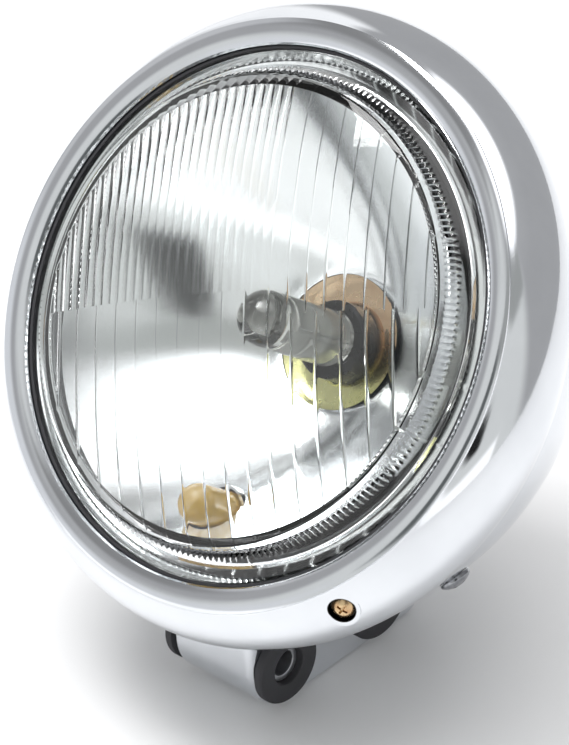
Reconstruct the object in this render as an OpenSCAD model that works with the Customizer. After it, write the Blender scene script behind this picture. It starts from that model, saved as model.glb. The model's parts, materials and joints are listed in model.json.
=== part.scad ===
// Motorcycle headlight: a fluted glass lamp unit in a chrome rim and bucket,
// standing on a foot bracket with four rubber bushes.
// Z is up. The lamp looks towards -Y, tipped up by lamp_tip. The origin lies
// on the bracket's base, midway between its two bolt axes.
// Lamp pieces are drawn in the lamp's own frame: z runs forward along its axis
// from the plane of the rim's front edge, y is the lamp's up, x is to the side.

/* [Lamp stance] */
// Height above the base at which the bucket rests on its bracket
saddle_h = 28; // [27:0.5:33]
// How far behind the origin that place lies
saddle_y = 0; // [-4:0.5:4]
// Upward tip of the lamp axis in degrees
lamp_tip = 41; // [38:1:44]

/* [Rim] */
// Radius of the rim where it is widest
rim_r = 98; // [97:0.5:102]
// Width of the band from the widest place in to the ridge, seen from ahead
band_w = 7.8; // [7:0.1:8.6]
// Width of the front flange from the ridge in to the opening
flange_w = 8.1; // [7.5:0.1:9]
// Crown of the front flange
flange_crown = 0.8; // [0.4:0.1:1.2]
// Depth from the rim's front to its widest place
widest_at = 17; // [15:0.5:19]
// Depth of the whole rim
rim_depth = 27; // [25:0.5:29]
// Sheet thickness of the rim
rim_wall = 1.2; // [1:0.1:1.5]
// Depth of the step behind the ridge
ridge_drop = 0.6; // [0.4:0.1:0.8]
// Depth of the lip that is folded in round the opening
lip_depth = 2.5; // [2:0.1:3]

/* [Rim screw and hook] */
// Angle of the rim's screw from the lamp's bottom, with the rim's hook opposite it
rim_screw_angle = 45; // [40:1:50]
// Radius of a rim screw's head
rim_screw_head_r = 3.55; // [3:0.05:4]
// Height of a rim screw's head
rim_screw_head_h = 2.2; // [1.8:0.1:2.6]
// Radius of a rim screw's shank
rim_screw_r = 2; // [1.5:0.25:2.25]
// Radius of the round recess that a rim screw sits in
recess_r = 4.4; // [4.2:0.1:5]
// Depth of that recess below the rim's surface
recess_depth = 3; // [2.4:0.1:3.4]
// Turn of the rim that its hook takes up in degrees
hook_turn = 9; // [6:1:14]
// How far the hook reaches down inside the bucket's edge
hook_reach = 3; // [2:0.25:5]

/* [Glass] */
// How far the glass reaches under the rim's flange
glass_lap = 2.4; // [2:0.1:2.8]
// Width of the smooth collar from the opening in to the ribbed skirt
collar_w = 7.6; // [7:0.1:8.2]
// Width of the ribbed skirt, seen from ahead
skirt_w = 2.9; // [2.4:0.1:3.4]
// Height of the skirt's foot ahead of the rim plane
skirt_foot_z = 2.6; // [2:0.1:3.2]
// Height of the domed face's edge ahead of the rim plane
face_z = 9; // [8:0.2:10]
// Height of the dome's top ahead of the rim plane
dome_z = 20; // [17:0.5:22]
// Thickness of the glass
glass_t = 4; // [3.5:0.1:4.5]
// Thickness of the glass edge under the seal
glass_edge_t = 3; // [2.5:0.1:3.5]
// Number of fine ribs round the skirt
skirt_ribs = 230; // [180:10:260]
// Depth of the fine ribs
rib_depth = 0.7; // [0.3:0.1:1]
// Width of a flute in the upper block
flute_w_top = 3.2; // [2.8:0.1:4]
// Width of a flute in the right-hand block
flute_w_side = 6.2; // [5.5:0.1:7]
// Width of a flute in the lower block
flute_w_low = 7.8; // [7:0.1:9]
// Height of the flutes on the inside of the glass
flute_h = 0.4; // [0.3:0.05:0.7]
// Turn of the flutes from the lamp's upright in degrees
flute_turn = 26; // [20:1:32]

/* [Seal and unit ring] */
// Thickness of the seal outside the glass edge
seal_t = 2.4; // [2:0.1:2.8]
// Thickness of the seal's lip between the rim and the glass
seal_lip_t = 1; // [0.8:0.1:1.4]
// How far that lip shows inside the opening
seal_shows = 0.5; // [0.3:0.1:0.8]
// Sheet thickness of the ring that holds the lamp unit
ring_wall = 1.2; // [1:0.1:1.5]
// Width of each spring clip
clip_w = 10; // [8:0.5:14]
// Thickness of each spring clip
clip_t = 1; // [0.8:0.1:1.2]
// Number of spring clips
clip_count = 4; // [3:1:5]

/* [Reflector] */
// Width of the reflector's flange outside its mouth
mouth_w = 11; // [10:0.5:12]
// Depth of the reflecting bowl
bowl_depth = 42; // [39:0.5:45]
// Sheet thickness of the reflector
bowl_wall = 1; // [0.8:0.1:1.2]
// Radius of the bulb hole
bulb_hole_r = 20.5; // [19:0.5:22]
// Length of the neck behind the bulb hole
neck_l = 5; // [4:0.5:7]
// How far the pilot lamp's axis lies inside the reflector's mouth
pilot_in = 14.5; // [13:0.5:17]

/* [Bulbs] */
// Radius of the main bulb's glass
bulb_r = 8.6; // [8:0.1:9]
// Length of the main bulb's glass ahead of its base
bulb_l = 43; // [40:0.5:46]
// Wall of the bulb glass
bulb_wall = 1; // [0.8:0.1:1.2]
// Radius of the bulb's base
base_r = 12; // [11:0.25:13]
// Height of the bulb's base ahead of its flange
base_h = 10; // [8:0.5:12]
// Thickness of the bulb's flange
bulb_flange_t = 1.6; // [1.2:0.1:2]
// Radius of the pilot bulb
pilot_r = 5; // [4:0.25:5.5]
// Length of the pilot bulb ahead of its holder
pilot_l = 19; // [16:0.5:21]

/* [Bucket] */
// How far the bucket's front edge lies inside the rim's widest radius
bucket_in = 7; // [6.5:0.1:7.5]
// Depth of the bucket's front edge behind the rim plane
bucket_front = 14; // [13:0.5:16]
// Length of the bucket
bucket_l = 96; // [92:0.5:98]
// Sheet thickness of the bucket
bucket_wall = 1.2; // [1:0.1:1.6]
// Radius of the cable hole in the back
cable_hole_r = 12; // [10:0.5:14]
// Radius of the way through the cable grommet
cable_r = 6; // [4:0.5:7]
// Distance of the side screws behind the bucket's front edge
side_screw_at = 43.5; // [41:0.5:45]
// Angle of the side screws from the lamp's side
side_screw_angle = 37; // [34:1:40]
// Radius of a side screw's head
side_head_r = 5.05; // [4.5:0.05:5.5]
// Height of a side screw's head
side_head_h = 3; // [2.5:0.1:3.5]
// Radius of a side screw's shank
side_screw_r = 3; // [2.5:0.25:3]

/* [Foot bracket] */
// Width of the bracket
bracket_w = 34; // [32:0.5:40]
// Sheet thickness of the bracket
bracket_wall = 2.5; // [2:0.1:3]
// Distance between the two bolt axes
bush_spacing = 40.5; // [39:0.5:44]
// Height of the bolt axes above the base
bush_h = 16; // [15.5:0.25:17]
// Reach of the bracket ahead of the front bolt axis
bracket_front = 12.6; // [12.6:0.1:14]
// Reach of the bracket behind the rear bolt axis
bracket_rear = 22; // [18:0.5:24]
// Radius of the bracket's front corner
front_round = 17; // [15:0.5:17.5]
// Radius of the bracket's rear corner
rear_round = 8; // [5:0.5:10]
// Outer radius of the bend along the bracket's sides
side_bend = 3.4; // [3.2:0.1:3.5]
// Width of the window in the bracket's rear wall
window_w = 20; // [16:1:24]
// Height of that window
window_h = 12; // [10:0.5:14]

/* [Bushes] */
// Radius of a bush's outer flange
bush_flange_r = 12.5; // [12:0.1:12.8]
// Thickness of a bush's outer flange
bush_flange_t = 3; // [2:0.25:4]
// Radius of a bush inside the bracket wall
bush_body_r = 9; // [8.5:0.25:9]
// Outer radius of the sleeves
sleeve_r = 6; // [5.5:0.25:6.5]
// Radius of the bolt hole through the sleeves
bolt_hole_r = 4.1; // [3.1:0.1:4.3]
// How far a sleeve's end lies inside the bush face
sleeve_inset = 2.5; // [1:0.25:3]

/* [Bracket bolts] */
// Distance of the bracket bolts behind the bucket's front edge
bolts_at = 55; // [51:0.5:58]
// Angle of each bracket bolt from the lamp's bottom
bolt_angle = 6; // [5.8:0.1:6.5]
// Radius of a bracket bolt
bolt_r = 3; // [2.5:0.25:3.5]

/* [Hidden] */

// Clearance where two fixed pieces meet
seat_gap = 0.1;
// Clearance of a screw or shank in its hole
hole_gap = 0.2;
// Far enough to cut right through
past = 1;
// Facets round a large turned piece and round a small one
fine = 120;
small = 36;

// Radii from the rim inwards, each one set in from the one before
ridge_r = rim_r - band_w;
opening_r = ridge_r - flange_w;
glass_r = opening_r + glass_lap;
skirt_r = opening_r - collar_w;
face_r = skirt_r - skirt_w;
mouth_r = glass_r - mouth_w;
pilot_drop = mouth_r - pilot_in;
bucket_r = rim_r - bucket_in;

// Centre and radius of the rim's band, an arc from the ridge to the widest place
band_angle = 2 * atan((rim_r - ridge_r) / (widest_at - ridge_drop));
band_r = (widest_at - ridge_drop) / sin(band_angle);
band_c = rim_r - band_r;

// Where a rim screw's axis crosses the band, and its lean from the lamp axis
screw_band_angle = 30;
rim_screw_lean = 45;
screw_out_r = band_c + band_r * cos(screw_band_angle);
screw_out_z = -widest_at + band_r * sin(screw_band_angle);
hem_r = bucket_r + 3 * seat_gap;
// Shank long enough to pass the lug that it screws into
rim_screw_l = 13;
lug_start = 8;
lug_l = 4;
lug_r = 5.5;
side_screw_angles = [side_screw_angle, -side_screw_angle, 180 - side_screw_angle, 180 + side_screw_angle];

// Depths behind the rim plane, from the rim's lip back to the unit ring
seal_top_z = -lip_depth - seat_gap;
seal_lip_r = opening_r - seal_shows;
glass_edge_z = seal_top_z - seal_lip_t - seat_gap;
glass_back_z = glass_edge_z - glass_edge_t;
bowl_front_z = glass_back_z - seat_gap;
apex_z = bowl_front_z - bowl_wall - bowl_depth;
ring_front_z = bowl_front_z - bowl_wall - seat_gap;
ring_back_z = ring_front_z - ring_wall;
// How far the ring reaches up round the seal
seal_grip = 0.6;
seal_r = glass_r + seat_gap + seal_t;
ring_r = seal_r + seat_gap + ring_wall;

// The bulb's flange seats behind the neck
bowl_focus4 = mouth_r * mouth_r / bowl_depth;
neck_front_z = apex_z + bulb_hole_r * bulb_hole_r / bowl_focus4;
neck_back_z = neck_front_z - neck_l;
flange_front_z = neck_back_z - seat_gap;
flange_back_z = flange_front_z - bulb_flange_t;
base_front_z = flange_front_z + base_h;
bulb_flange_r = bulb_hole_r + 1.5;
bulb_back_h = 4;
bulb_back_z = flange_back_z - bulb_back_h;
bulb_back_r = base_r - 2;
// Edge broken off the bulb's base, and how far its foot flares out
base_edge = 1;
// Wire of the bulb's spring, and the rubber boot behind it
wire_r = 0.8;
boot_t = 1.5;
boot_back_z = flange_back_z - 14;
boot_hub_r = base_r + 1;
boot_rim_h = 3;

// The pilot lamp's tube, pressed out of the reflector
pilot_tube_r = 8;
pilot_bore_r = 7.2;
pilot_surface_z = apex_z + pilot_drop * pilot_drop / bowl_focus4;
pilot_tube_l = 12;
pilot_back_z = pilot_surface_z - pilot_tube_l;
// Foot of the pilot bulb on its holder, and the holder's parts behind the tube
pilot_foot_z = pilot_surface_z - 6;
pilot_plug_l = 6;
pilot_collar_t = 2;

// Bucket outline: radius at a distance behind the front edge
bucket_pow = 2.2;
bucket_root = 0.625;
bucket_steps = 22;
function bucket_out(d, grow = 0) =
    (bucket_r + grow) * pow(max(0, 1 - pow(d / (bucket_l + grow), bucket_pow)), bucket_root);
function bucket_at_r(r, grow = 0) =
    (bucket_l + grow) * pow(1 - pow(r / (bucket_r + grow), 1 / bucket_root), 1 / bucket_pow);
// Lean of the bucket's surface normal towards the back in degrees, read over 1 mm
function bucket_lean(d) = atan(bucket_out(d - 0.5) - bucket_out(d + 0.5));

// The rim's front centre, placed so that the bucket rests on its bracket at the saddle
saddle_r = bucket_out(bolts_at);
saddle_back = bucket_front + bolts_at;
rim_h = saddle_h + saddle_r * cos(lamp_tip) + saddle_back * sin(lamp_tip);
rim_y = saddle_y + saddle_r * sin(lamp_tip) - saddle_back * cos(lamp_tip);

bush_y = bush_spacing / 2;
bush_hole_r = bush_body_r + seat_gap;
bush_face_x = bracket_w / 2 + bush_flange_t;
bracket_y0 = -bush_y - bracket_front;
bracket_y1 = bush_y + bracket_rear;
// Lip that keeps a bush in its hole, and the angles of the two bracket bolts
bush_lip_r = bush_body_r + 0.4;
bolt_angles = [-90 - bolt_angle, -90 + bolt_angle];
// The bracket's blank reaches up into the bucket, which then cuts its saddle
blank_h = rim_h / 2;
// Rounding of a bush's outer edge
bush_edge = 1;
// Length that cuts a screw or bolt hole through the bucket's wall
bore_l = 20;
side_screw_l = 9;
inner_flange_t = 2;
nut_h = 5;
nut_r = 5.6;
washer_t = 1.2;
washer_r = 6.5;
bolt_head_h = 4;
bolt_reach = 11;
// A flat washer or nut inside the bucket bridges the hollow of its wall
washer_lift = washer_r * washer_r / bucket_r;
nut_lift = nut_r * nut_r / bucket_r;

module lamp_frame() {
    translate([0, rim_y, rim_h]) rotate([90 - lamp_tip, 0, 0]) children();
}

// Puts children on the bucket's outer face, with z along its outward normal
module on_bucket(d, angle) {
    rotate([0, 0, angle])
        translate([bucket_out(d), 0, -bucket_front - d])
            rotate([0, 90 + bucket_lean(d), 0])
                children();
}

// Puts children on the rim screw's axis, with z pointing out of the screw's head
module on_rim_screw() {
    rotate([0, 0, -90 + rim_screw_angle])
        translate([screw_out_r, 0, screw_out_z])
            rotate([0, rim_screw_lean, 0])
                children();
}

// Hole through the bucket's wall, along z
module wall_bore(radius) {
    translate([0, 0, -bore_l / 2]) cylinder(r = radius, h = bore_l, $fn = small);
}

// Cross recess for a screwdriver, cut down from z = 0
module cross_cut(reach, width, depth) {
    for (turn = [0, 90])
        rotate([0, 0, turn])
            translate([-reach, -width / 2, -depth])
                cube([2 * reach, width, depth + past]);
}

// Pan-head screw: the head's underside lies at z = 0 and the shank runs down
module pan_screw(head_r, head_h, shank_r, length) {
    crown_r = head_r * 1.4;
    recess_reach = head_r * 0.6;
    recess_w = head_r * 0.24;
    recess_h = head_h * 0.6;
    difference() {
        union() {
            rotate_extrude($fn = small)
                intersection() {
                    translate([0, head_h - crown_r]) circle(r = crown_r, $fn = 72);
                    square([head_r, head_h]);
                }
            translate([0, 0, -length]) cylinder(r = shank_r, h = length + head_h / 2, $fn = small);
        }
        translate([0, 0, head_h]) cross_cut(recess_reach, recess_w, recess_h);
    }
}

module hex_nut(bore_r) {
    difference() {
        cylinder(r = nut_r, h = nut_h, $fn = 6);
        translate([0, 0, -past]) cylinder(r = bore_r, h = nut_h + 2 * past, $fn = small);
    }
}

// Everything inside the rim's outer surface, as a profile to turn
module rim_outline(inset) {
    translate([band_c, -widest_at]) circle(r = band_r - inset, $fn = fine);
}

module rim_profile() {
    flange_mid_r = (opening_r + ridge_r) / 2;
    rear_r = band_c + sqrt(pow(band_r, 2) - pow(rim_depth - widest_at, 2));
    intersection() {
        difference() {
            rim_outline(0);
            rim_outline(rim_wall);
        }
        translate([band_c, -rim_depth]) square([band_r + past, rim_depth - ridge_drop]);
    }
    polygon([[opening_r, -lip_depth], [opening_r, 0], [flange_mid_r, flange_crown], [ridge_r, 0],
        [ridge_r, -ridge_drop], [ridge_r - rim_wall, -rim_wall], [opening_r + rim_wall, -rim_wall],
        [opening_r + rim_wall, -lip_depth]]);
    translate([hem_r, -rim_depth]) square([rear_r - hem_r - rim_wall / 2, rim_wall]);
}

// Tongue of the rim's hem that hooks over the bucket's front edge, opposite the screw
module rim_hook() {
    top_z = hole_gap - bucket_front;
    arm_r = bucket_r - bucket_wall - 2 * hole_gap;
    rotate([0, 0, 90 + rim_screw_angle - hook_turn / 2])
        rotate_extrude(angle = hook_turn, $fn = fine)
            polygon([[hem_r, -rim_depth], [hem_r, top_z], [arm_r, top_z], [arm_r, top_z - hook_reach],
                [arm_r - rim_wall, top_z - hook_reach], [arm_r - rim_wall, top_z + rim_wall],
                [hem_r + rim_wall, top_z + rim_wall], [hem_r + rim_wall, -rim_depth]]);
}

module rim() {
    cup_r = recess_r + rim_wall;
    color("gainsboro")
        lamp_frame()
            difference() {
                union() {
                    rotate_extrude($fn = fine) rim_profile();
                    rim_hook();
                    intersection() {
                        on_rim_screw()
                            translate([0, 0, -recess_depth - rim_wall])
                                cylinder(r = cup_r, h = 2 * recess_depth, $fn = small);
                        rotate_extrude($fn = fine) rim_outline(0);
                    }
                }
                on_rim_screw() {
                    translate([0, 0, -recess_depth])
                        cylinder(r = recess_r, h = 4 * recess_depth, $fn = small);
                    translate([0, 0, -recess_depth - rim_wall - past])
                        cylinder(r = rim_screw_r + hole_gap, h = recess_depth, $fn = small);
                }
            }
}

module rim_screws() {
    color("darkgoldenrod")
        lamp_frame()
            on_rim_screw()
                translate([0, 0, -recess_depth])
                    pan_screw(rim_screw_head_r, rim_screw_head_h, rim_screw_r, rim_screw_l);
}

// Height of the dome's outer and inner faces at a distance from the axis
dome_rise = dome_z - face_z;
dome_r = (face_r * face_r + dome_rise * dome_rise) / (2 * dome_rise);
function dome_out(r) = dome_z - dome_r + sqrt(dome_r * dome_r - r * r);
function dome_in(r) = dome_out(r) - glass_t;

inner_face_r = face_r - glass_t * 0.9;
// Length of a flute's facets, and how far a block of flutes sinks into the dome
flute_step = 9;
flute_sink = 1;

// One block of upright flutes on the inside of the dome. Each flute is a ridge
// that follows the dome, and the block covers x0 to x1 and y0 to y1.
module flute_block(x0, x1, y0, y1, width) {
    count = max(1, round((x1 - x0) / width));
    pitch = (x1 - x0) / count;
    rows = max(2, round((y1 - y0) / flute_step));
    columns = 2 * count;
    step_y = (y1 - y0) / rows;
    function depth_at(i) = i % 2 == 1 ? flute_h : 0;
    function node_at(i, j, under) =
        let (x = x0 + i * pitch / 2, y = y0 + j * step_y, r = min(face_r, norm([x, y])))
        [x, y, dome_in(r) + (under ? -depth_at(i) - seat_gap / 2 : flute_sink)];
    top = [for (j = [0:rows]) for (i = [0:columns]) node_at(i, j, false)];
    low = [for (j = [0:rows]) for (i = [0:columns]) node_at(i, j, true)];
    n = len(top);
    w = columns + 1;
    faces = concat(
        [for (j = [0:rows - 1]) for (i = [0:columns - 1])
            for (f = [[0, w, w + 1], [0, w + 1, 1]]) [for (k = f) j * w + i + k]],
        [for (j = [0:rows - 1]) for (i = [0:columns - 1])
            for (f = [[0, w + 1, w], [0, 1, w + 1]]) [for (k = f) n + j * w + i + k]],
        [for (i = [0:columns - 1]) for (f = [[i, i + 1, n + i + 1], [i, n + i + 1, n + i]]) f],
        [for (i = [0:columns - 1]) let (a = rows * w + i)
            for (f = [[a, n + a + 1, a + 1], [a, n + a, n + a + 1]]) f],
        [for (j = [0:rows - 1]) let (a = j * w)
            for (f = [[a, n + a + w, a + w], [a, n + a, n + a + w]]) f],
        [for (j = [0:rows - 1]) let (a = j * w + columns)
            for (f = [[a, a + w, n + a + w], [a, n + a + w, n + a]]) f]);
    polyhedron(concat(top, low), faces, convexity = 10);
}

// Outline of the skirt's foot, with one shallow point for every rib
module ribbed_circle() {
    polygon([for (i = [0:2 * skirt_ribs - 1])
        let (r = skirt_r - (i % 2) * rib_depth, a = 180 * i / skirt_ribs)
        [r * cos(a), r * sin(a)]]);
}

// The smooth collar starts with a small step beside the seal's lip
module glass_body() {
    steps = 8;
    collar_edge = 0.4;
    rotate_extrude($fn = fine)
        polygon(concat(
            [[0, glass_back_z], [glass_r, glass_back_z], [glass_r, glass_edge_z],
                [seal_lip_r - 2 * seat_gap, glass_edge_z], [seal_lip_r - 2 * seat_gap - collar_edge, -lip_depth],
                [skirt_r, skirt_foot_z], [face_r - rib_depth, skirt_foot_z]],
            [for (i = [0:steps]) let (r = (face_r - rib_depth) * (1 - i / steps)) [r, dome_out(r)]]));
    translate([0, 0, skirt_foot_z - seat_gap])
        linear_extrude(height = face_z - skirt_foot_z + seat_gap, scale = face_r / skirt_r)
            ribbed_circle();
}

module glass_hollow() {
    steps = 8;
    back_r = mouth_r - 1;
    straight = 1;
    rotate_extrude($fn = fine)
        polygon(concat(
            [[0, glass_back_z - past], [back_r, glass_back_z - past], [back_r, glass_back_z + straight]],
            [for (i = [0:steps]) let (r = inner_face_r * (1 - i / steps)) [r, dome_in(r)]]));
}

module flutes() {
    middle = 4;
    right_x = 16;
    intersection() {
        rotate([0, 0, flute_turn]) {
            flute_block(-face_r, right_x, middle, face_r, flute_w_top);
            flute_block(right_x, face_r, -middle, face_r, flute_w_side);
            flute_block(-face_r, right_x, -face_r, middle, flute_w_low);
            flute_block(right_x, face_r, -face_r, -middle, flute_w_low);
        }
        translate([0, 0, -glass_r])
            cylinder(r = inner_face_r + glass_t / 2, h = 2 * glass_r, $fn = fine);
    }
}

module glass_lens() {
    color("aliceblue", 0.5)
        lamp_frame()
            resize([2 * glass_r, 2 * glass_r, 0])
                union() {
                    difference() {
                        glass_body();
                        glass_hollow();
                    }
                    flutes();
                }
}

// Rubber ring round the glass edge, with a lip between the rim and the glass
module lens_seal() {
    inner = glass_r + seat_gap;
    lip_back_z = seal_top_z - seal_lip_t;
    color("black")
        lamp_frame()
            rotate_extrude($fn = fine)
                polygon([[inner, glass_back_z], [seal_r, glass_back_z], [seal_r, seal_top_z],
                    [seal_lip_r, seal_top_z], [seal_lip_r, lip_back_z], [inner, lip_back_z]]);
}

bowl_steps = 14;
// The bowl is a little thicker along the axis than across its sheet
bowl_t = 1.4 * bowl_wall;
function bowl_z(r) = apex_z + r * r / bowl_focus4;
function bowl_point(i, drop) =
    let (r = bulb_hole_r + (mouth_r - bulb_hole_r) * i / bowl_steps) [r, bowl_z(r) - drop];

module reflector() {
    clear_z = bowl_z(mouth_r) + 2 * pilot_tube_r;
    color("white")
        lamp_frame()
            difference() {
                union() {
                    rotate_extrude($fn = fine)
                        polygon(concat(
                            [[bulb_hole_r, neck_back_z]],
                            [for (i = [0:bowl_steps]) bowl_point(i, 0)],
                            [[mouth_r, bowl_front_z], [glass_r, bowl_front_z],
                                [glass_r, bowl_front_z - bowl_wall],
                                [mouth_r + bowl_wall, bowl_front_z - bowl_wall]],
                            [for (i = [bowl_steps:-1:1]) bowl_point(i, bowl_t)],
                            [[bulb_hole_r + bowl_wall, neck_front_z - bowl_wall],
                                [bulb_hole_r + bowl_wall, neck_back_z]]));
                    translate([0, -pilot_drop, pilot_back_z])
                        cylinder(r = pilot_tube_r, h = 2 * pilot_tube_l, $fn = small);
                }
                rotate_extrude($fn = fine)
                    polygon(concat(
                        [[0, bowl_z(bulb_hole_r)]],
                        [for (i = [0:bowl_steps]) bowl_point(i, 0)],
                        [[mouth_r, clear_z], [0, clear_z]]));
                translate([0, -pilot_drop, pilot_back_z - past])
                    cylinder(r = pilot_bore_r, h = clear_z - pilot_back_z, $fn = small);
            }
}

module unit_ring() {
    inner = mouth_r + 3;
    skirt_front = glass_back_z + seal_grip;
    color("silver")
        lamp_frame()
            rotate_extrude($fn = fine)
                polygon([[inner, ring_back_z], [ring_r, ring_back_z], [ring_r, skirt_front],
                    [ring_r - ring_wall, skirt_front], [ring_r - ring_wall, ring_front_z],
                    [inner, ring_front_z]]);
}

// Bent spring strip from the unit ring out to the inside of the rim
module unit_clips() {
    foot_r = mouth_r + 5;
    foot_z = ring_back_z - seat_gap;
    tip_z = -widest_at + 4;
    tip_gap = 0.6;
    tip_l = 4;
    rise = 1;
    tip_r = band_c + sqrt(pow(band_r - rim_wall, 2) - pow(widest_at + tip_z, 2)) - tip_gap;
    color("dimgray")
        lamp_frame()
            for (i = [0:clip_count - 1])
                rotate([0, 0, i * 360 / clip_count])
                    rotate([90, 0, 0])
                        translate([0, 0, -clip_w / 2])
                            linear_extrude(height = clip_w)
                                polygon([[foot_r, foot_z], [ring_r, foot_z],
                                    [tip_r - tip_l, tip_z + rise], [tip_r, tip_z],
                                    [tip_r, tip_z - clip_t], [tip_r - tip_l, tip_z + rise - clip_t],
                                    [ring_r - clip_t, foot_z - clip_t], [foot_r, foot_z - clip_t]]);
}

module bulb_glass() {
    tip_z = base_front_z + bulb_l;
    inner_r = bulb_r - bulb_wall;
    color("lightyellow", 0.5)
        lamp_frame()
            difference() {
                union() {
                    translate([0, 0, base_front_z]) cylinder(r = bulb_r, h = bulb_l - bulb_r, $fn = small);
                    translate([0, 0, tip_z - bulb_r]) sphere(r = bulb_r, $fn = small);
                }
                translate([0, 0, base_front_z + bulb_wall])
                    cylinder(r = inner_r, h = bulb_l - bulb_r - bulb_wall, $fn = small);
                translate([0, 0, tip_z - bulb_r]) sphere(r = inner_r, $fn = small);
            }
}

// The two filaments on their posts, with the dipped filament's small tray
module bulb_filaments() {
    post_r = 0.6;
    post_x = 3;
    post_l = bulb_l * 0.6;
    coil_r = 1;
    coil_shares = [0.34, 0.58];
    tray_r = 4.6;
    tray_wall = 0.6;
    tray_l = 8;
    tray_share = 0.45;
    foot = base_front_z + bulb_wall;
    color("dimgray")
        lamp_frame() {
            for (x = [-post_x, post_x])
                translate([x, 0, foot]) cylinder(r = post_r, h = post_l, $fn = small);
            for (share = coil_shares)
                translate([-post_x, 0, foot + bulb_l * share])
                    rotate([0, 90, 0]) cylinder(r = coil_r, h = 2 * post_x, $fn = small);
            translate([0, 0, foot + bulb_l * tray_share])
                difference() {
                    cylinder(r = tray_r, h = tray_l, $fn = small);
                    translate([0, 0, -past])
                        cylinder(r = tray_r - tray_wall, h = tray_l + 2 * past, $fn = small);
                    translate([-tray_r - past, 0, -past])
                        cube([2 * (tray_r + past), tray_r + past, tray_l + 2 * past]);
                }
        }
}

module bulb_base() {
    color("goldenrod")
        lamp_frame()
            rotate_extrude($fn = 72)
                polygon([[0, bulb_back_z], [bulb_back_r, bulb_back_z],
                    [bulb_back_r, flange_back_z], [bulb_flange_r, flange_back_z],
                    [bulb_flange_r, flange_front_z], [base_r + base_edge, flange_front_z],
                    [base_r, flange_front_z + 2 * base_edge], [base_r, base_front_z - base_edge],
                    [base_r - base_edge, base_front_z - seat_gap], [0, base_front_z - seat_gap]]);
}

// Three contact blades standing out of the bulb's back
module bulb_terminals() {
    blade_w = 8;
    blade_t = 0.8;
    blade_l = 10;
    spread = 6;
    side_drop = 1;
    color("silver")
        lamp_frame()
            translate([0, 0, bulb_back_z - seat_gap - blade_l]) {
                translate([-blade_w / 2, spread, 0]) cube([blade_w, blade_t, blade_l]);
                for (x = [-spread - blade_t, spread])
                    translate([x, -blade_w / 2 - side_drop, 0]) cube([blade_t, blade_w, blade_l]);
            }
}

// Wire spring that holds the bulb's flange against the neck
module bulb_spring() {
    ring_at_r = bulb_flange_r - 4;
    turn = 300;
    color("silver")
        lamp_frame()
            translate([0, 0, flange_back_z - wire_r - seat_gap])
                rotate([0, 0, 90 + (360 - turn) / 2])
                    rotate_extrude(angle = turn, $fn = 72)
                        translate([ring_at_r, 0]) circle(r = wire_r, $fn = 24);
}

// Rubber boot over the bulb's flange, open in the middle for the blades
module bulb_boot() {
    lip = bulb_flange_r + seat_gap;
    rim_z = flange_back_z - boot_rim_h;
    mouth = boot_hub_r - 2;
    color("black")
        lamp_frame()
            rotate_extrude($fn = 72)
                polygon([[lip, neck_back_z], [lip + boot_t, neck_back_z],
                    [lip + boot_t, rim_z], [boot_hub_r + boot_t, boot_back_z],
                    [mouth, boot_back_z], [mouth, boot_back_z + boot_t],
                    [boot_hub_r, boot_back_z + boot_t], [lip, rim_z + boot_t]]);
}

module pilot_bulb() {
    color("gold", 0.7)
        lamp_frame()
            translate([0, -pilot_drop, pilot_foot_z]) {
                cylinder(r = pilot_r, h = pilot_l - pilot_r, $fn = small);
                translate([0, 0, pilot_l - pilot_r]) sphere(r = pilot_r, $fn = small);
            }
}

module pilot_holder() {
    top = pilot_foot_z - seat_gap;
    bottom = pilot_back_z - pilot_plug_l;
    color("dimgray")
        lamp_frame()
            translate([0, -pilot_drop, 0]) {
                translate([0, 0, bottom])
                    cylinder(r = pilot_bore_r - seat_gap, h = top - bottom, $fn = small);
                translate([0, 0, pilot_back_z - pilot_collar_t - seat_gap])
                    cylinder(r = pilot_tube_r + pilot_collar_t / 2, h = pilot_collar_t, $fn = small);
            }
}

// Outline of the bucket from its front edge to the cable hole, grown outwards
function bucket_side(grow) =
    let (last = bucket_at_r(cable_hole_r, grow))
    [for (i = [0:bucket_steps]) let (d = last * sin(90 * i / bucket_steps)) [bucket_out(d, grow), -d]];
function reversed(list) = [for (i = [len(list) - 1:-1:0]) list[i]];

// The same outline as one filled solid
module bucket_solid(grow = 0) {
    side = bucket_side(grow);
    translate([0, 0, -bucket_front])
        rotate_extrude($fn = fine)
            polygon(concat([[0, 0]], side, [[0, side[bucket_steps][1]]]));
}

module bucket() {
    color("gainsboro")
        lamp_frame()
            difference() {
                union() {
                    translate([0, 0, -bucket_front])
                        rotate_extrude($fn = fine)
                            polygon(concat(bucket_side(0), reversed(bucket_side(-bucket_wall))));
                    intersection() {
                        on_rim_screw()
                            translate([0, 0, -recess_depth - lug_start - lug_l])
                                cylinder(r = lug_r, h = lug_l, $fn = small);
                        translate([0, 0, -bucket_front - 3 * lug_r])
                            cylinder(r = bucket_r - bucket_wall / 2, h = 5 * lug_r, $fn = fine);
                    }
                }
                on_rim_screw()
                    translate([0, 0, -rim_screw_l - bore_l / 2])
                        cylinder(r = rim_screw_r + hole_gap, h = rim_screw_l + bore_l / 2, $fn = small);
                for (angle = side_screw_angles)
                    on_bucket(side_screw_at, angle) wall_bore(side_screw_r + hole_gap);
                for (angle = bolt_angles)
                    on_bucket(bolts_at, angle) wall_bore(bolt_r + hole_gap);
            }
}

module side_screws() {
    color("silver")
        lamp_frame()
            for (angle = side_screw_angles)
                on_bucket(side_screw_at, angle)
                    translate([0, 0, seat_gap])
                        pan_screw(side_head_r, side_head_h, side_screw_r, side_screw_l);
}

module side_nuts() {
    color("silver")
        lamp_frame()
            for (angle = side_screw_angles)
                on_bucket(side_screw_at, angle)
                    translate([0, 0, -bucket_wall - nut_h - nut_lift - seat_gap])
                        hex_nut(side_screw_r + seat_gap / 2);
}

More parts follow.
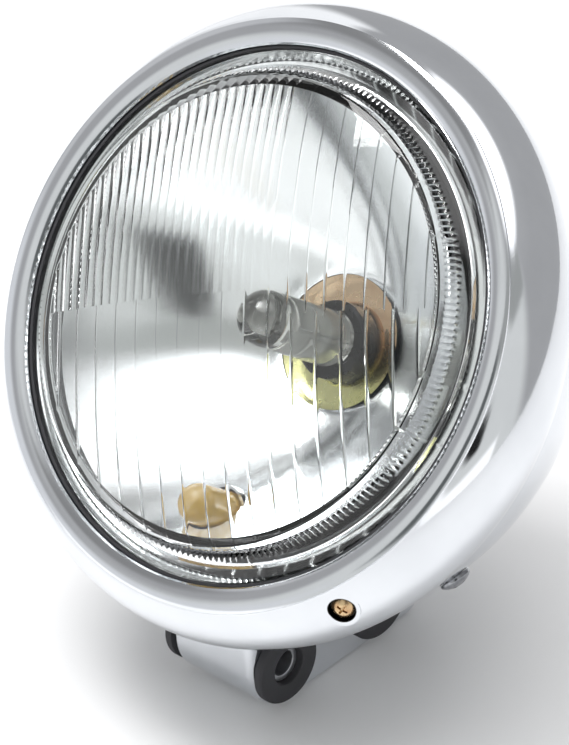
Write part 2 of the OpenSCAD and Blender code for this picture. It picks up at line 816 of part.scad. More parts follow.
module cable_grommet() {
    lip = 3;
    overhang = 2;
    groove_r = cable_hole_r - seat_gap;
    lip_r = cable_hole_r + overhang;
    edge_r = lip_r - overhang / 2;
    outside = -bucket_front - bucket_at_r(cable_hole_r);
    inside = outside + bucket_wall;
    slope = overhang / 2;
    color("black")
        lamp_frame()
            rotate_extrude($fn = 72)
                polygon([[cable_r, outside - lip], [edge_r, outside - lip],
                    [lip_r, outside - lip / 2], [lip_r, outside - seat_gap],
                    [groove_r, outside - seat_gap], [groove_r, inside + slope / 2],
                    [lip_r, inside + slope + lip / 2], [edge_r, inside + slope + lip],
                    [cable_r, inside + slope + lip]]);
}

// Half-round end of the bracket's section: reach is the way out from the middle of
// a corner, and the edges beside it are bent round
module bracket_section(reach, half, bend) {
    translate([0, -half]) square([reach - bend, 2 * half]);
    translate([0, bend - half]) square([reach, 2 * (half - bend)]);
    for (side = [-1, 1])
        translate([reach - bend, side * (half - bend)]) circle(r = bend, $fn = small);
}

// The bracket's blank, or its inside: a bent section that runs down the front,
// round both corners and up the rear
module bracket_block(inset) {
    half = bracket_w / 2 - inset;
    bend = side_bend - inset;
    front = front_round - inset;
    rear = rear_round - inset;
    front_y = bracket_y0 + front_round;
    rear_y = bracket_y1 - rear_round;
    for (corner = [[front_y, front_round, front, 180], [rear_y, rear_round, rear, 270]])
        translate([0, corner[0], corner[1]]) {
            rotate([90, 0, 90])
                rotate([0, 0, corner[3]])
                    rotate_extrude(angle = 90, $fn = fine) bracket_section(corner[2], half, bend);
            rotate([0, 0, corner[3] == 180 ? -90 : 90])
                linear_extrude(height = blank_h - corner[1])
                    bracket_section(corner[2], half, bend);
        }
    translate([0, front_y, blank_h])
        rotate([-90, 90, 0])
            linear_extrude(height = rear_y - front_y)
                bracket_section(blank_h - inset, half, bend);
}

module bracket() {
    color("gainsboro")
        difference() {
            bracket_block(0);
            lamp_frame() bucket_solid();
            difference() {
                bracket_block(bracket_wall);
                lamp_frame() bucket_solid(bracket_wall);
            }
            for (y = [-bush_y, bush_y])
                translate([-bracket_w, y, bush_h])
                    rotate([0, 90, 0]) cylinder(r = bush_hole_r, h = 2 * bracket_w, $fn = 72);
            translate([-window_w / 2, bracket_y1 - 2 * bracket_wall, rear_round])
                cube([window_w, 3 * bracket_wall, window_h]);
            lamp_frame()
                for (angle = bolt_angles)
                    on_bucket(bolts_at, angle) wall_bore(bolt_r + hole_gap);
        }
}

// Bolts with their heads inside the bucket and their ends in the bracket
module bracket_bolts() {
    seat = -bucket_wall - washer_lift - washer_t - seat_gap;
    color("silver")
        lamp_frame()
            for (angle = bolt_angles)
                on_bucket(bolts_at, angle) {
                    translate([0, 0, seat - bolt_head_h])
                        cylinder(r = nut_r, h = bolt_head_h, $fn = 6);
                    translate([0, 0, seat - bolt_head_h / 2])
                        cylinder(r = bolt_r, h = bolt_reach - seat + bolt_head_h / 2, $fn = small);
                }
}

module bracket_washers() {
    color("silver")
        lamp_frame()
            for (angle = bolt_angles)
                on_bucket(bolts_at, angle)
                    translate([0, 0, -bucket_wall - washer_lift - washer_t])
                        difference() {
                            cylinder(r = washer_r, h = washer_t, $fn = small);
                            translate([0, 0, -past])
                                cylinder(r = bolt_r + seat_gap, h = washer_t + 2 * past, $fn = small);
                        }
}

module bracket_nuts() {
    color("silver")
        lamp_frame()
            for (angle = bolt_angles)
                on_bucket(bolts_at, angle)
                    translate([0, 0, bracket_wall + 2 * seat_gap])
                        hex_nut(bolt_r + seat_gap / 2);
}

// Rubber bush in one side wall of the bracket: side is 1 for +X, end is 1 for the rear
module bush(side, end) {
    inside = bracket_w / 2 - bracket_wall - seat_gap;
    outside = bracket_w / 2 + seat_gap;
    color([0.13, 0.13, 0.14])
        translate([0, end * bush_y, bush_h])
            rotate([0, side * 90, 0])
                rotate_extrude($fn = 72)
                    polygon([[sleeve_r + seat_gap, inside - inner_flange_t],
                        [bush_lip_r, inside - inner_flange_t],
                        [bush_lip_r, inside], [bush_body_r, inside],
                        [bush_body_r, outside], [bush_flange_r, outside],
                        [bush_flange_r, bush_face_x - bush_edge],
                        [bush_flange_r - bush_edge, bush_face_x],
                        [sleeve_r + seat_gap, bush_face_x]]);
}

module bush_front_left() bush(-1, -1);
module bush_front_right() bush(1, -1);
module bush_rear_left() bush(-1, 1);
module bush_rear_right() bush(1, 1);

module sleeve(end) {
    half = bush_face_x - sleeve_inset;
    color("dimgray")
        translate([0, end * bush_y, bush_h])
            rotate([0, 90, 0])
                difference() {
                    translate([0, 0, -half]) cylinder(r = sleeve_r, h = 2 * half, $fn = 48);
                    translate([0, 0, -half - past])
                        cylinder(r = bolt_hole_r, h = 2 * half + 2 * past, $fn = 48);
                }
}

module sleeve_front() sleeve(-1);
module sleeve_rear() sleeve(1);

rim();
rim_screws();
glass_lens();
lens_seal();
reflector();
unit_ring();
unit_clips();
bulb_glass();
bulb_filaments();
bulb_base();
bulb_terminals();
bulb_spring();
bulb_boot();
pilot_bulb();
pilot_holder();
bucket();
side_screws();
side_nuts();
cable_grommet();
bracket();
bracket_bolts();
bracket_washers();
bracket_nuts();
bush_front_left();
bush_front_right();
bush_rear_left();
bush_rear_right();
sleeve_front();
sleeve_rear();
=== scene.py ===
"""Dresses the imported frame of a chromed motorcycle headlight.

Pieces of the lamp are drawn in the lamp's own frame, in metres: z runs forward along its
axis from the plane of the rim's front edge, y is the lamp's up and x is to the side. Pieces
of the foot are drawn in the row's frame, with z up and the lamp looking towards -y.
"""

import json
import logging
import math
from collections.abc import Callable, Iterable, Sequence
from dataclasses import dataclass, field
from enum import Enum
from typing import Any, ClassVar

import bmesh
import bpy
from mathutils import Matrix, Vector


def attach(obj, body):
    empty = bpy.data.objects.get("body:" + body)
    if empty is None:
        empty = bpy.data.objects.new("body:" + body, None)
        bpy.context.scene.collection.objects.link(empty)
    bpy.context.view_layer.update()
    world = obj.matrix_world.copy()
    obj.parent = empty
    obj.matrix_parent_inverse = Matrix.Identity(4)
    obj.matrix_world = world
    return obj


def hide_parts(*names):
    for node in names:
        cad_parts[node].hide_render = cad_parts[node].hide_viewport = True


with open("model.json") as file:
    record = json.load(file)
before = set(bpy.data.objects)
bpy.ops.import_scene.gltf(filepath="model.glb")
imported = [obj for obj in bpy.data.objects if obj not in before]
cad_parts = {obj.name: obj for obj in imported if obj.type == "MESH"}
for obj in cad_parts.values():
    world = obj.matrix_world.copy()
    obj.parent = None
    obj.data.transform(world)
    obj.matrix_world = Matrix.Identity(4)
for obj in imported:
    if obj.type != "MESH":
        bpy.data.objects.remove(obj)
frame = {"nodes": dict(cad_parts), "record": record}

LOG = logging.getLogger("headlight")
BODY = "root"
MM = 0.001
SEAT_GAP = 0.1 * MM
SMALL_FACETS = 72
MID_FACETS = 96
LARGE_FACETS = 288

Point = tuple[float, float]
Colour = tuple[float, float, float]
Piece = bpy.types.Object
Material = bpy.types.Material
Node = bpy.types.Node
NodeTree = bpy.types.NodeTree
Socket = bpy.types.NodeSocket


# Profiles and turned shapes


def spaced(low: float, high: float, steps: int) -> list[float]:
    """Even steps from one value to another, both included."""
    return [low + (high - low) * i / steps for i in range(steps + 1)]


def arc(centre: Point, radius: float, start: float, end: float, steps: int) -> list[Point]:
    """Points along an arc of a profile.

    Args:
        centre: The arc's centre.
        radius: Its radius in metres.
        start: Angle of its first point in degrees.
        end: Angle of its last point in degrees.
        steps: Number of chords.

    Returns:
        The points from start to end, both included.
    """
    turns = [math.radians(turn) for turn in spaced(start, end, steps)]
    return [(centre[0] + radius * math.cos(a), centre[1] + radius * math.sin(a)) for a in turns]


def rounded(corners: Sequence[tuple[float, float, float]], steps: int = 5) -> list[Point]:
    """Closed outline whose corners are rounded.

    Args:
        corners: Place and rounding radius of each corner.
        steps: Number of chords in a rounded corner.

    Returns:
        The outline's points.
    """
    outline: list[Point] = []
    for i, (x, y, radius) in enumerate(corners):
        here = Vector((x, y))
        if radius <= 0:
            outline.append((x, y))
            continue
        back = Vector(corners[i - 1][:2]) - here
        ahead = Vector(corners[(i + 1) % len(corners)][:2]) - here
        half = back.angle(ahead) / 2
        reach = min(radius / math.tan(half), back.length / 2, ahead.length / 2)
        start, end = here + back.normalized() * reach, here + ahead.normalized() * reach
        bisector = (back.normalized() + ahead.normalized()).normalized()
        middle = here + bisector * reach / math.cos(half)
        first, last = start - middle, end - middle
        for share in spaced(0.0, 1.0, steps):
            outline.append(tuple(middle + first.lerp(last, share).normalized() * first.length))
    return outline


def turned(name: str, outline: Sequence[Point], segments: int = SMALL_FACETS) -> Piece:
    """Turns a closed outline round the z axis.

    Args:
        name: Name of the piece.
        outline: Radius and height of each point of the closed outline.
        segments: Number of facets in a full turn.

    Returns:
        A closed piece, shaded smooth.
    """
    points: list[tuple[float, float, float]] = []
    rings: list[list[int]] = []
    for radius, height in outline:
        if radius < 1e-7:
            rings.append([len(points)] * segments)
            points.append((0.0, 0.0, height))
            continue
        rings.append(list(range(len(points), len(points) + segments)))
        for k in range(segments):
            turn = math.tau * k / segments
            points.append((radius * math.cos(turn), radius * math.sin(turn), height))
    faces = []
    for i, ring in enumerate(rings):
        above = rings[(i + 1) % len(rings)]
        for k in range(segments):
            n = (k + 1) % segments
            corners = list(dict.fromkeys((ring[k], ring[n], above[n], above[k])))
            if len(corners) > 2:
                faces.append(corners)
    return piece_of(name, points, faces)


def rod(name: str, radius: float, low: float, high: float, facets: int = SMALL_FACETS) -> Piece:
    """Cylinder on the z axis between two heights."""
    return turned(name, [(0.0, low), (radius, low), (radius, high), (0.0, high)], facets)


def lofted(name: str, sections: Sequence[Sequence[Sequence[float]]]) -> Piece:
    """Joins sections into one piece and closes its two ends.

    Args:
        name: Name of the piece.
        sections: Outlines in order, all with the same number of corners.

    Returns:
        A closed piece.
    """
    points = [corner for section in sections for corner in section]
    count = len(sections[0])
    last = len(points) - count
    faces = [tuple(range(count)), tuple(range(last, len(points)))]
    for first in range(0, last, count):
        for i in range(count):
            n = (i + 1) % count
            faces.append((first + i, first + n, first + count + n, first + count + i))
    return piece_of(name, points, faces)


def placed(name: str, data: bpy.types.ID) -> Piece:
    """Puts new data into the scene as an object at the origin."""
    made = bpy.data.objects.new(name, data)
    bpy.context.scene.collection.objects.link(made)
    return made


def piece_of(name: str, points: Iterable[Sequence[float]],
             faces: Iterable[Sequence[int]]) -> Piece:
    """Makes a closed piece with its faces pointing outwards.

    Args:
        name: Name of the piece.
        points: Its corners.
        faces: Its faces, as indices of corners.

    Returns:
        The new object, shaded smooth.
    """
    mesh = bpy.data.meshes.new(name)
    mesh.from_pydata([tuple(p) for p in points], [], [tuple(f) for f in faces])
    piece = placed(name, mesh)
    tidy_mesh(piece)
    return piece


def tidy_mesh(piece: Piece, merge: float = 0.0, angle: float = 32.0) -> None:
    """Merges doubles, points the faces outwards and shades them smooth.

    Args:
        piece: The piece.
        merge: Distance within which corners are merged, or 0 for none.
        angle: Degrees between two faces above which their edge is sharp.
    """
    solid = bmesh.new()
    solid.from_mesh(piece.data)
    if merge > 0:
        bmesh.ops.remove_doubles(solid, verts=solid.verts, dist=merge)
        bmesh.ops.dissolve_degenerate(solid, edges=solid.edges, dist=merge)
    bmesh.ops.recalc_face_normals(solid, faces=solid.faces)
    solid.to_mesh(piece.data)
    solid.free()
    piece.data.shade_smooth()
    piece.data.set_sharp_from_angle(angle=math.radians(angle))


def baked(piece: Piece) -> Piece:
    """Turns a piece's modifiers into plain mesh.

    Args:
        piece: The piece with its modifiers.

    Returns:
        The same piece without them.
    """
    graph = bpy.context.evaluated_depsgraph_get()
    mesh = bpy.data.meshes.new_from_object(piece.evaluated_get(graph))
    old = piece.data
    piece.modifiers.clear()
    piece.data = mesh
    if old.users == 0:
        bpy.data.meshes.remove(old)
    return piece


class Cut(Enum):
    """How one solid changes another."""

    AWAY = "DIFFERENCE"
    JOIN = "UNION"


def carved(piece: Piece, tool: Piece, how: Cut = Cut.AWAY) -> Piece:
    """Applies a solid to a piece and removes the solid.

    Args:
        piece: The piece that is changed.
        tool: The solid that changes it.
        how: Whether the solid is cut away or joined.

    Returns:
        The changed piece.
    """
    carving = piece.modifiers.new("carving", "BOOLEAN")
    carving.object = tool
    carving.operation = how.value
    carving.solver = "EXACT"
    baked(piece)
    bpy.data.objects.remove(tool)
    tidy_mesh(piece)
    return piece


def moved(piece: Piece, place: Matrix) -> Piece:
    """Moves a piece's mesh and leaves its object at the origin."""
    piece.data.transform(place)
    return piece


def block(name: str, low: Sequence[float], high: Sequence[float], taper: float = 1.0) -> Piece:
    """Box with its lower end narrowed.

    Args:
        name: Name of the piece.
        low: Its lowest corner.
        high: Its highest corner.
        taper: Size of the lower end as a share of the upper one.

    Returns:
        A closed piece.
    """
    middle = [(a + b) / 2 for a, b in zip(low, high)]
    points = []
    for z in (low[2], high[2]):
        share = taper if z == low[2] else 1.0
        for x, y in ((low[0], low[1]), (high[0], low[1]), (high[0], high[1]), (low[0], high[1])):
            points.append((middle[0] + (x - middle[0]) * share,
                           middle[1] + (y - middle[1]) * share, z))
    faces = [(3, 2, 1, 0), (4, 5, 6, 7), (0, 1, 5, 4), (1, 2, 6, 5), (2, 3, 7, 6), (3, 0, 4, 7)]
    return piece_of(name, points, faces)


# Node trees


def plug(node: Node, **values: Any) -> Node:
    """Sets or links a node's inputs by name, with _ for a space and a number for a place."""
    for name, value in values.items():
        numbered = name.startswith("i") and name[1:].isdigit()
        socket = node.inputs[int(name[1:]) if numbered else name.replace("_", " ")]
        if isinstance(value, Socket):
            node.id_data.links.new(value, socket)
        else:
            socket.default_value = value
    return node


class Tree:
    """A node tree with short calls to add nodes."""

    def __init__(self, tree: NodeTree) -> None:
        """Keeps the tree."""
        self.tree = tree

    def add(self, kind: str, settings: dict[str, Any] | None = None, **values: Any) -> Node:
        """Adds a node, with its settings and its inputs."""
        node = self.tree.nodes.new(kind)
        for name, value in (settings or {}).items():
            setattr(node, name, value)
        return plug(node, **values)

    def math(self, how: str, a: Any, b: Any = 0.0) -> Socket:
        """Result of one sum."""
        return self.add("ShaderNodeMath", {"operation": how}, i0=a, i1=b).outputs[0]

    def vector(self, how: str, a: Any, b: Any = (0.0, 0.0, 0.0)) -> Node:
        """Node of one sum of vectors."""
        return self.add("ShaderNodeVectorMath", {"operation": how}, i0=a, i1=b)

    def socket(self, name: str, kind: str, out: bool = False, value: Any = None) -> None:
        """Names an input or an output of the tree."""
        made = self.tree.interface.new_socket(
            name=name, in_out="OUTPUT" if out else "INPUT", socket_type=kind)
        if value is not None:
            made.default_value = value


class ShadeTree(Tree):
    """A shader tree or shader group."""

    def noise(self, where: Any, scale: Any, detail: float = 3.0,
              rough: float = 0.5) -> Socket:
        """Noise from 0 to 1."""
        return self.add("ShaderNodeTexNoise", None, Vector=where, Scale=scale, Detail=detail,
                        Roughness=rough).outputs["Fac"]

    def spread(self, value: Any, low: float, high: float, to_low: float = 0.0,
               to_high: float = 1.0) -> Socket:
        """Maps a range of values to another, held at its ends."""
        return self.add("ShaderNodeMapRange", {"clamp": True}, Value=value, From_Min=low,
                        From_Max=high, To_Min=to_low, To_Max=to_high).outputs["Result"]

    def blend(self, share: Any, a: Any, b: Any) -> Socket:
        """Mix of two colours, each a socket or its red, green and blue."""
        a, b = ((*c, 1.0) if isinstance(c, tuple) else c for c in (a, b))
        return self.add("ShaderNodeMix", {"data_type": "RGBA"}, i0=share, i6=a, i7=b).outputs[2]

    def bump(self, strength: float, distance: float, height: Socket) -> Socket:
        """Normal of a surface with a height on it."""
        return self.add("ShaderNodeBump", None, Strength=strength, Distance=distance,
                        Height=height).outputs[0]


class GeoTree(Tree):
    """A geometry tree that ends in one piece of plain mesh."""

    def __init__(self, name: str) -> None:
        """Starts a tree with a geometry, a finish and its output."""
        super().__init__(bpy.data.node_groups.new(name, "GeometryNodeTree"))
        self.socket("Geometry", "NodeSocketGeometry")
        self.socket("Finish", "NodeSocketMaterial")
        self.socket("Geometry", "NodeSocketGeometry", out=True)
        self.start = self.add("NodeGroupInput")

    def value(self, name: str) -> Socket:
        """One of the tree's own inputs."""
        return self.start.outputs[name]

    def attribute(self, name: str, kind: str = "FLOAT") -> Socket:
        """A named attribute of the mesh."""
        node = self.add("GeometryNodeInputNamedAttribute", {"data_type": kind}, Name=name)
        return node.outputs[0]

    def close(self, geometry: Socket) -> NodeTree:
        """Ends the tree in realized instances with their finish."""
        real = self.add("GeometryNodeRealizeInstances", None, Geometry=geometry)
        dressed = self.add("GeometryNodeSetMaterial", None, Geometry=real.outputs[0],
                           Material=self.value("Finish"))
        self.add("NodeGroupOutput", None, Geometry=dressed.outputs[0])
        return self.tree


def run_tree(piece: Piece, tree: NodeTree, **values: Any) -> Piece:
    """Runs a geometry tree on a piece and keeps the result as plain mesh.

    Args:
        piece: The piece that the tree starts from.
        tree: The geometry tree.
        **values: The tree's inputs by name, with _ for a space.

    Returns:
        The piece with its new mesh.
    """
    modifier = piece.modifiers.new(tree.name, "NODES")
    modifier.node_group = tree
    sockets = {s.name: s.identifier for s in tree.interface.items_tree if s.in_out == "INPUT"}
    for name, value in values.items():
        modifier[sockets[name.replace("_", " ")]] = value
    return baked(piece)


def copying_tree() -> NodeTree:
    """Tree that puts a copy of one part on each point, turned as the point says."""
    tree = GeoTree("part_copies")
    tree.socket("Part", "NodeSocketObject")
    part = tree.add("GeometryNodeObjectInfo", {"transform_space": "ORIGINAL"},
                    Object=tree.value("Part"))
    turn = tree.add("FunctionNodeEulerToRotation", None,
                    Euler=tree.attribute("turn", "FLOAT_VECTOR"))
    copies = tree.add("GeometryNodeInstanceOnPoints", None, Points=tree.value("Geometry"),
                      Instance=part.outputs["Geometry"], Rotation=turn.outputs[0])
    return tree.close(copies.outputs[0])


def copies(name: str, part: Piece, places: Sequence[Matrix],
           finish: Material) -> Piece:
    """One mesh that holds a copy of a part at each place.

    Args:
        name: Name of the new piece.
        part: The part that is copied, removed afterwards.
        places: Where each copy goes.
        finish: Material of the copies.

    Returns:
        The new piece.
    """
    mesh = bpy.data.meshes.new(name)
    mesh.from_pydata([tuple(p.translation) for p in places], [], [])
    turns = mesh.attributes.new("turn", "FLOAT_VECTOR", "POINT")
    for spot, place in zip(turns.data, places):
        spot.vector = tuple(place.to_euler())
    piece = placed(name, mesh)
    tree = bpy.data.node_groups.get("part_copies") or copying_tree()
    run_tree(piece, tree, Part=part, Finish=finish)
    bpy.data.objects.remove(part)
    tidy_mesh(piece)
    return piece


# Finishes


def lay_handling(group: ShadeTree, start: Any) -> Sequence[Any]:
    """Smudges and hairlines, as masks from 0 to 1.

    Args:
        group: The tree of the group.
        start: Sockets of the group's inputs.

    Returns:
        Sockets for the group's outputs, in their order.
    """
    smudge = group.noise(start["Vector"], start["Smudge scale"], 4.0, 0.6)
    stretch = group.vector("MULTIPLY", start["Vector"], (1.0, 0.12, 0.35))
    lines = group.noise(stretch.outputs[0], start["Hairline scale"], 2.0, 0.7)
    return group.spread(smudge, 0.35, 0.7), group.spread(lines, 0.55, 0.75)


def lay_grain(group: ShadeTree, start: Any) -> Sequence[Any]:
    """Fine grain and dust of moulded rubber and plastic.

    Args:
        group: The tree of the group.
        start: Sockets of the group's inputs.

    Returns:
        Sockets for the group's outputs, in their order.
    """
    height = group.noise(start["Vector"], start["Grain scale"], 2.0, 0.5)
    dust = group.noise(start["Vector"], start["Dust scale"], 5.0, 0.65)
    return height, group.spread(dust, 0.5, 0.75)


def lay_reach(group: ShadeTree, start: Any) -> Sequence[Any]:
    """Distance from an axis through a place, and height over the place.

    Args:
        group: The tree of the group.
        start: Sockets of the group's inputs.

    Returns:
        Sockets for the group's outputs, in their order.
    """
    spoke = group.vector("SUBTRACT", start["Vector"], start["Place"]).outputs[0]
    across = group.vector("CROSS_PRODUCT", spoke, start["Axis"]).outputs[0]
    height = group.vector("DOT_PRODUCT", spoke, start["Up"]).outputs["Value"]
    return group.vector("LENGTH", across, across).outputs["Value"], height


def lay_card(group: ShadeTree, start: Any) -> Sequence[Any]:
    """Mask of one soft-edged patch of the surroundings.

    Args:
        group: The tree of the group.
        start: Sockets of the group's inputs.

    Returns:
        Sockets for the group's outputs, in their order.
    """
    off = group.math("SUBTRACT", start["Azimuth"], start["At azimuth"])
    off = group.add("ShaderNodeMath", {"operation": "WRAP"}, i0=off, i1=180.0, i2=-180.0).outputs[0]
    up = group.math("SUBTRACT", start["Elevation"], start["At elevation"])
    shares = []
    for away, half in ((off, start["Half width"]), (up, start["Half height"])):
        far = group.math("ADD", half, start["Softness"])
        span = group.add("ShaderNodeMapRange", {"interpolation_type": "SMOOTHSTEP"},
                         Value=group.math("ABSOLUTE", away), From_Min=half, From_Max=far,
                         To_Min=1.0, To_Max=0.0)
        shares.append(span.outputs["Result"])
    return (group.math("MULTIPLY", *shares),)


@dataclass(frozen=True)
class Group:
    """A shader group of values: its inputs' defaults, None for a vector, and its outputs."""

    name: str
    inputs: dict[str, float | None]
    outputs: tuple[str, ...]
    lay: Callable[[ShadeTree, Any], Sequence[Any]]

    def tree(self) -> NodeTree:
        """Builds the group once, its outputs fed by what lay returns for its inputs."""
        if self.name in bpy.data.node_groups:
            return bpy.data.node_groups[self.name]
        group = ShadeTree(bpy.data.node_groups.new(self.name, "ShaderNodeTree"))
        for label, value in self.inputs.items():
            kind = "NodeSocketVector" if value is None else "NodeSocketFloat"
            group.socket(label, kind, value=value)
        for label in self.outputs:
            group.socket(label, "NodeSocketFloat", out=True)
        results = self.lay(group, group.add("NodeGroupInput").outputs)
        plug(group.add("NodeGroupOutput"), **dict(zip(self.outputs, results)))
        return group.tree

    def use(self, tree: ShadeTree, **values: Any) -> Any:
        """Adds the group to a tree and gives its outputs."""
        return tree.add("ShaderNodeGroup", {"node_tree": self.tree()}, **values).outputs


HANDLING = Group("handling_marks", {"Vector": None, "Smudge scale": 40.0, "Hairline scale": 900.0},
                 ("Smudge", "Hairline"), lay_handling)
GRAIN = Group("moulded_grain", {"Vector": None, "Grain scale": 2500.0, "Dust scale": 90.0},
              ("Height", "Dust"), lay_grain)
REACH = Group("reach_from_axis", dict.fromkeys(("Vector", "Place", "Axis", "Up")),
              ("Reach", "Height"), lay_reach)
PATCH = Group("soft_card", dict.fromkeys(("Azimuth", "Elevation", "At azimuth", "At elevation",
                                          "Half width", "Half height", "Softness"), 0.0),
              ("Mask",), lay_card)


@dataclass(frozen=True)
class Finish:
    """A finish laid out over an object's own coordinates."""

    name: str

    def material(self) -> Material:
        """Builds the material once."""
        if self.name in bpy.data.materials:
            return bpy.data.materials[self.name]
        made, tree, shader = new_material(self.name)
        self.lay(tree, shader, tree.add("ShaderNodeTexCoord").outputs["Object"])
        return made

    def lay(self, tree: ShadeTree, shader: Node, where: Socket) -> None:
        """Lays the finish's nodes and plugs them into the main shader."""
        raise NotImplementedError


@dataclass(frozen=True)
class Metal(Finish):
    """A metal finish: its colour, how rough it is where clean and where smudged, and its marks."""

    colour: Colour
    smudged: Colour
    rough: float
    rough_smudged: float
    smudge_scale: float = 40.0
    bump: float = 0.02
    hairline: float = 0.1 * MM

    def lay(self, tree: ShadeTree, shader: Node, where: Socket) -> None:
        """Lays smudges over the colour and hairlines over the surface."""
        marks = HANDLING.use(tree, Vector=where, Smudge_scale=self.smudge_scale)
        plug(shader, Base_Color=tree.blend(marks["Smudge"], self.colour, self.smudged),
             Roughness=tree.spread(marks["Smudge"], 0.0, 1.0, self.rough, self.rough_smudged),
             Normal=tree.bump(self.bump, self.hairline, marks["Hairline"]), Metallic=1.0)


@dataclass(frozen=True)
class PaintedShadeMetal(Metal):
    """A metal with painted shade: near-black inside a radius of an axis, and it may be tinted below
    that axis.
    """

    shade_colour: Colour = (0.012, 0.012, 0.014)
    lower: Colour | None = None
    shade_edge: float = 0.8 * MM
    lower_from: float = 4.0 * MM
    lower_to: float = -8.0 * MM

    def around(self, place: Matrix, radius: float) -> Material:
        """Builds the material with its painted shade round an axis.

        Args:
            place: Place whose z axis is the axis and whose y axis is up.
            radius: Radius in metres inside which shade is painted near-black.

        Returns:
            The material.
        """
        made = self.material()
        tree = ShadeTree(made.node_tree)
        shader = made.node_tree.nodes["Principled BSDF"]
        tint = shader.inputs["Base Color"].links[0].from_socket
        axis, up = (tuple(place.to_3x3() @ Vector(v)) for v in ((0.0, 0.0, 1.0), (0.0, 1.0, 0.0)))
        reach = REACH.use(tree, Vector=tree.add("ShaderNodeTexCoord").outputs["Object"],
                          Place=tuple(place.translation), Axis=axis, Up=up)
        if self.lower:
            low = tree.spread(reach["Height"], self.lower_from, self.lower_to)
            tint = tree.blend(low, tint, self.lower)
        # painted shade: near-black colour blended in inside the radius
        inside = tree.spread(reach["Reach"], radius, radius - self.shade_edge)
        plug(shader, Base_Color=tree.blend(inside, tint, self.shade_colour))
        return made


@dataclass(frozen=True)
class Moulding(Finish):
    """A rubber or plastic finish: its colour, the colour of its dust and its roughness."""

    colour: Colour
    dusty: Colour
    rough: float
    bump: float = 0.25
    grain: float = 0.1 * MM
    dust_rough: float = 0.2

    def lay(self, tree: ShadeTree, shader: Node, where: Socket) -> None:
        """Lays dust over the colour and grain over the surface."""
        grain, worn = GRAIN.use(tree, Vector=where), min(1.0, self.rough + self.dust_rough)
        plug(shader, Base_Color=tree.blend(grain["Dust"], self.colour, self.dusty),
             Roughness=tree.spread(grain["Dust"], 0.0, 1.0, self.rough, worn),
             Normal=tree.bump(self.bump, self.grain, grain["Height"]))


@dataclass(frozen=True)
class Glass(Finish):
    """A glass finish: its tint, how rough it is and how wavy its surface is."""

    tint: Colour
    rough: float = 0.0
    wave: float = 0.0
    bend: float = 1.5
    weight: float = 1.0
    wave_scale: float = 140.0
    dust_scale: float = 60.0
    dust_rough: float = 0.03
    wave_height: float = 0.2 * MM

    def lay(self, tree: ShadeTree, shader: Node, where: Socket) -> None:
        """Lays dust over the roughness and slow waves over the surface."""
        grain = GRAIN.use(tree, Vector=where, Grain_scale=self.wave_scale,
                          Dust_scale=self.dust_scale)
        rough = tree.spread(grain["Dust"], 0.0, 1.0, self.rough, self.rough + self.dust_rough)
        plug(shader, Base_Color=(*self.tint, 1.0), Roughness=rough, IOR=self.bend,
             Transmission_Weight=self.weight)
        if self.wave > 0:
            plug(shader, Normal=tree.bump(self.wave, self.wave_height, grain["Height"]))


def new_material(name: str) -> tuple[Material, ShadeTree, Node]:
    """Makes a material with nothing but its main shader.

    Args:
        name: Name of the material.

    Returns:
        The material, its tree and its main shader.
    """
    made = bpy.data.materials.new(name)
    made.use_nodes = True
    tree = ShadeTree(made.node_tree)
    return made, tree, made.node_tree.nodes["Principled BSDF"]


CHROME = Metal("polished_chrome", (0.74, 0.76, 0.79), (0.69, 0.71, 0.74), 0.06, 0.13)
SCREW_CHROME = Metal("screw_chrome", (0.36, 0.37, 0.39), (0.14, 0.14, 0.15), 0.14, 0.25, 300.0)
YELLOW_ZINC = Metal("yellow_zinc", (0.7, 0.54, 0.32), (0.52, 0.32, 0.17), 0.2, 0.35, 400.0, 0.1)
# painted shade: the rim's chrome is near-black inside the screw recess
RIM_CHROME = PaintedShadeMetal("rim_chrome", (0.74, 0.76, 0.79), (0.69, 0.71, 0.74), 0.06, 0.13,
                     shade_colour=(0.03, 0.028, 0.025), shade_edge=0.2 * MM)
# painted shade: the bulb cap is near-black near the lamp's axis; its lower side is tinted olive
BULB_GOLD = PaintedShadeMetal("bulb_gold", (0.7, 0.52, 0.34), (0.62, 0.42, 0.26), 0.22, 0.35, 200.0, 0.05,
                    lower=(0.6, 0.58, 0.28))
MIRROR = Metal("mirror_coat", (0.9, 0.91, 0.92), (0.87, 0.88, 0.9), 0.03, 0.06, 60.0, 0.0)
STEEL = Metal("dull_steel", (0.55, 0.56, 0.58), (0.42, 0.43, 0.45), 0.3, 0.5, 200.0, 0.1)
BRIGHT_WIRE = Metal("bright_wire", (0.92, 0.92, 0.9), (0.86, 0.86, 0.84), 0.45, 0.6, 300.0, 0.1)
TINNED = Metal("tinned_brass", (0.72, 0.66, 0.5), (0.6, 0.52, 0.36), 0.3, 0.45, 300.0, 0.1)
RUBBER = Moulding("black_rubber", (0.012, 0.013, 0.015), (0.03, 0.03, 0.032), 0.5)
PLASTIC = Moulding("black_plastic", (0.02, 0.02, 0.02), (0.04, 0.04, 0.04), 0.4)
LENS = Glass("pressed_glass", (0.985, 1.0, 0.995), 0.0, 0.02)
BULB_CLEAR = Glass("bulb_glass", (1.0, 1.0, 0.98))
AMBER = Glass("amber_glass", (1.0, 0.78, 0.26), 0.2, weight=0.5)


# The lamp's frame and the base of every sub-assembly


def mount_named(name: str) -> dict[str, Any]:
    """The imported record's mount of that name."""
    return next(m for m in frame["record"]["mounts"] if m["name"] == name)


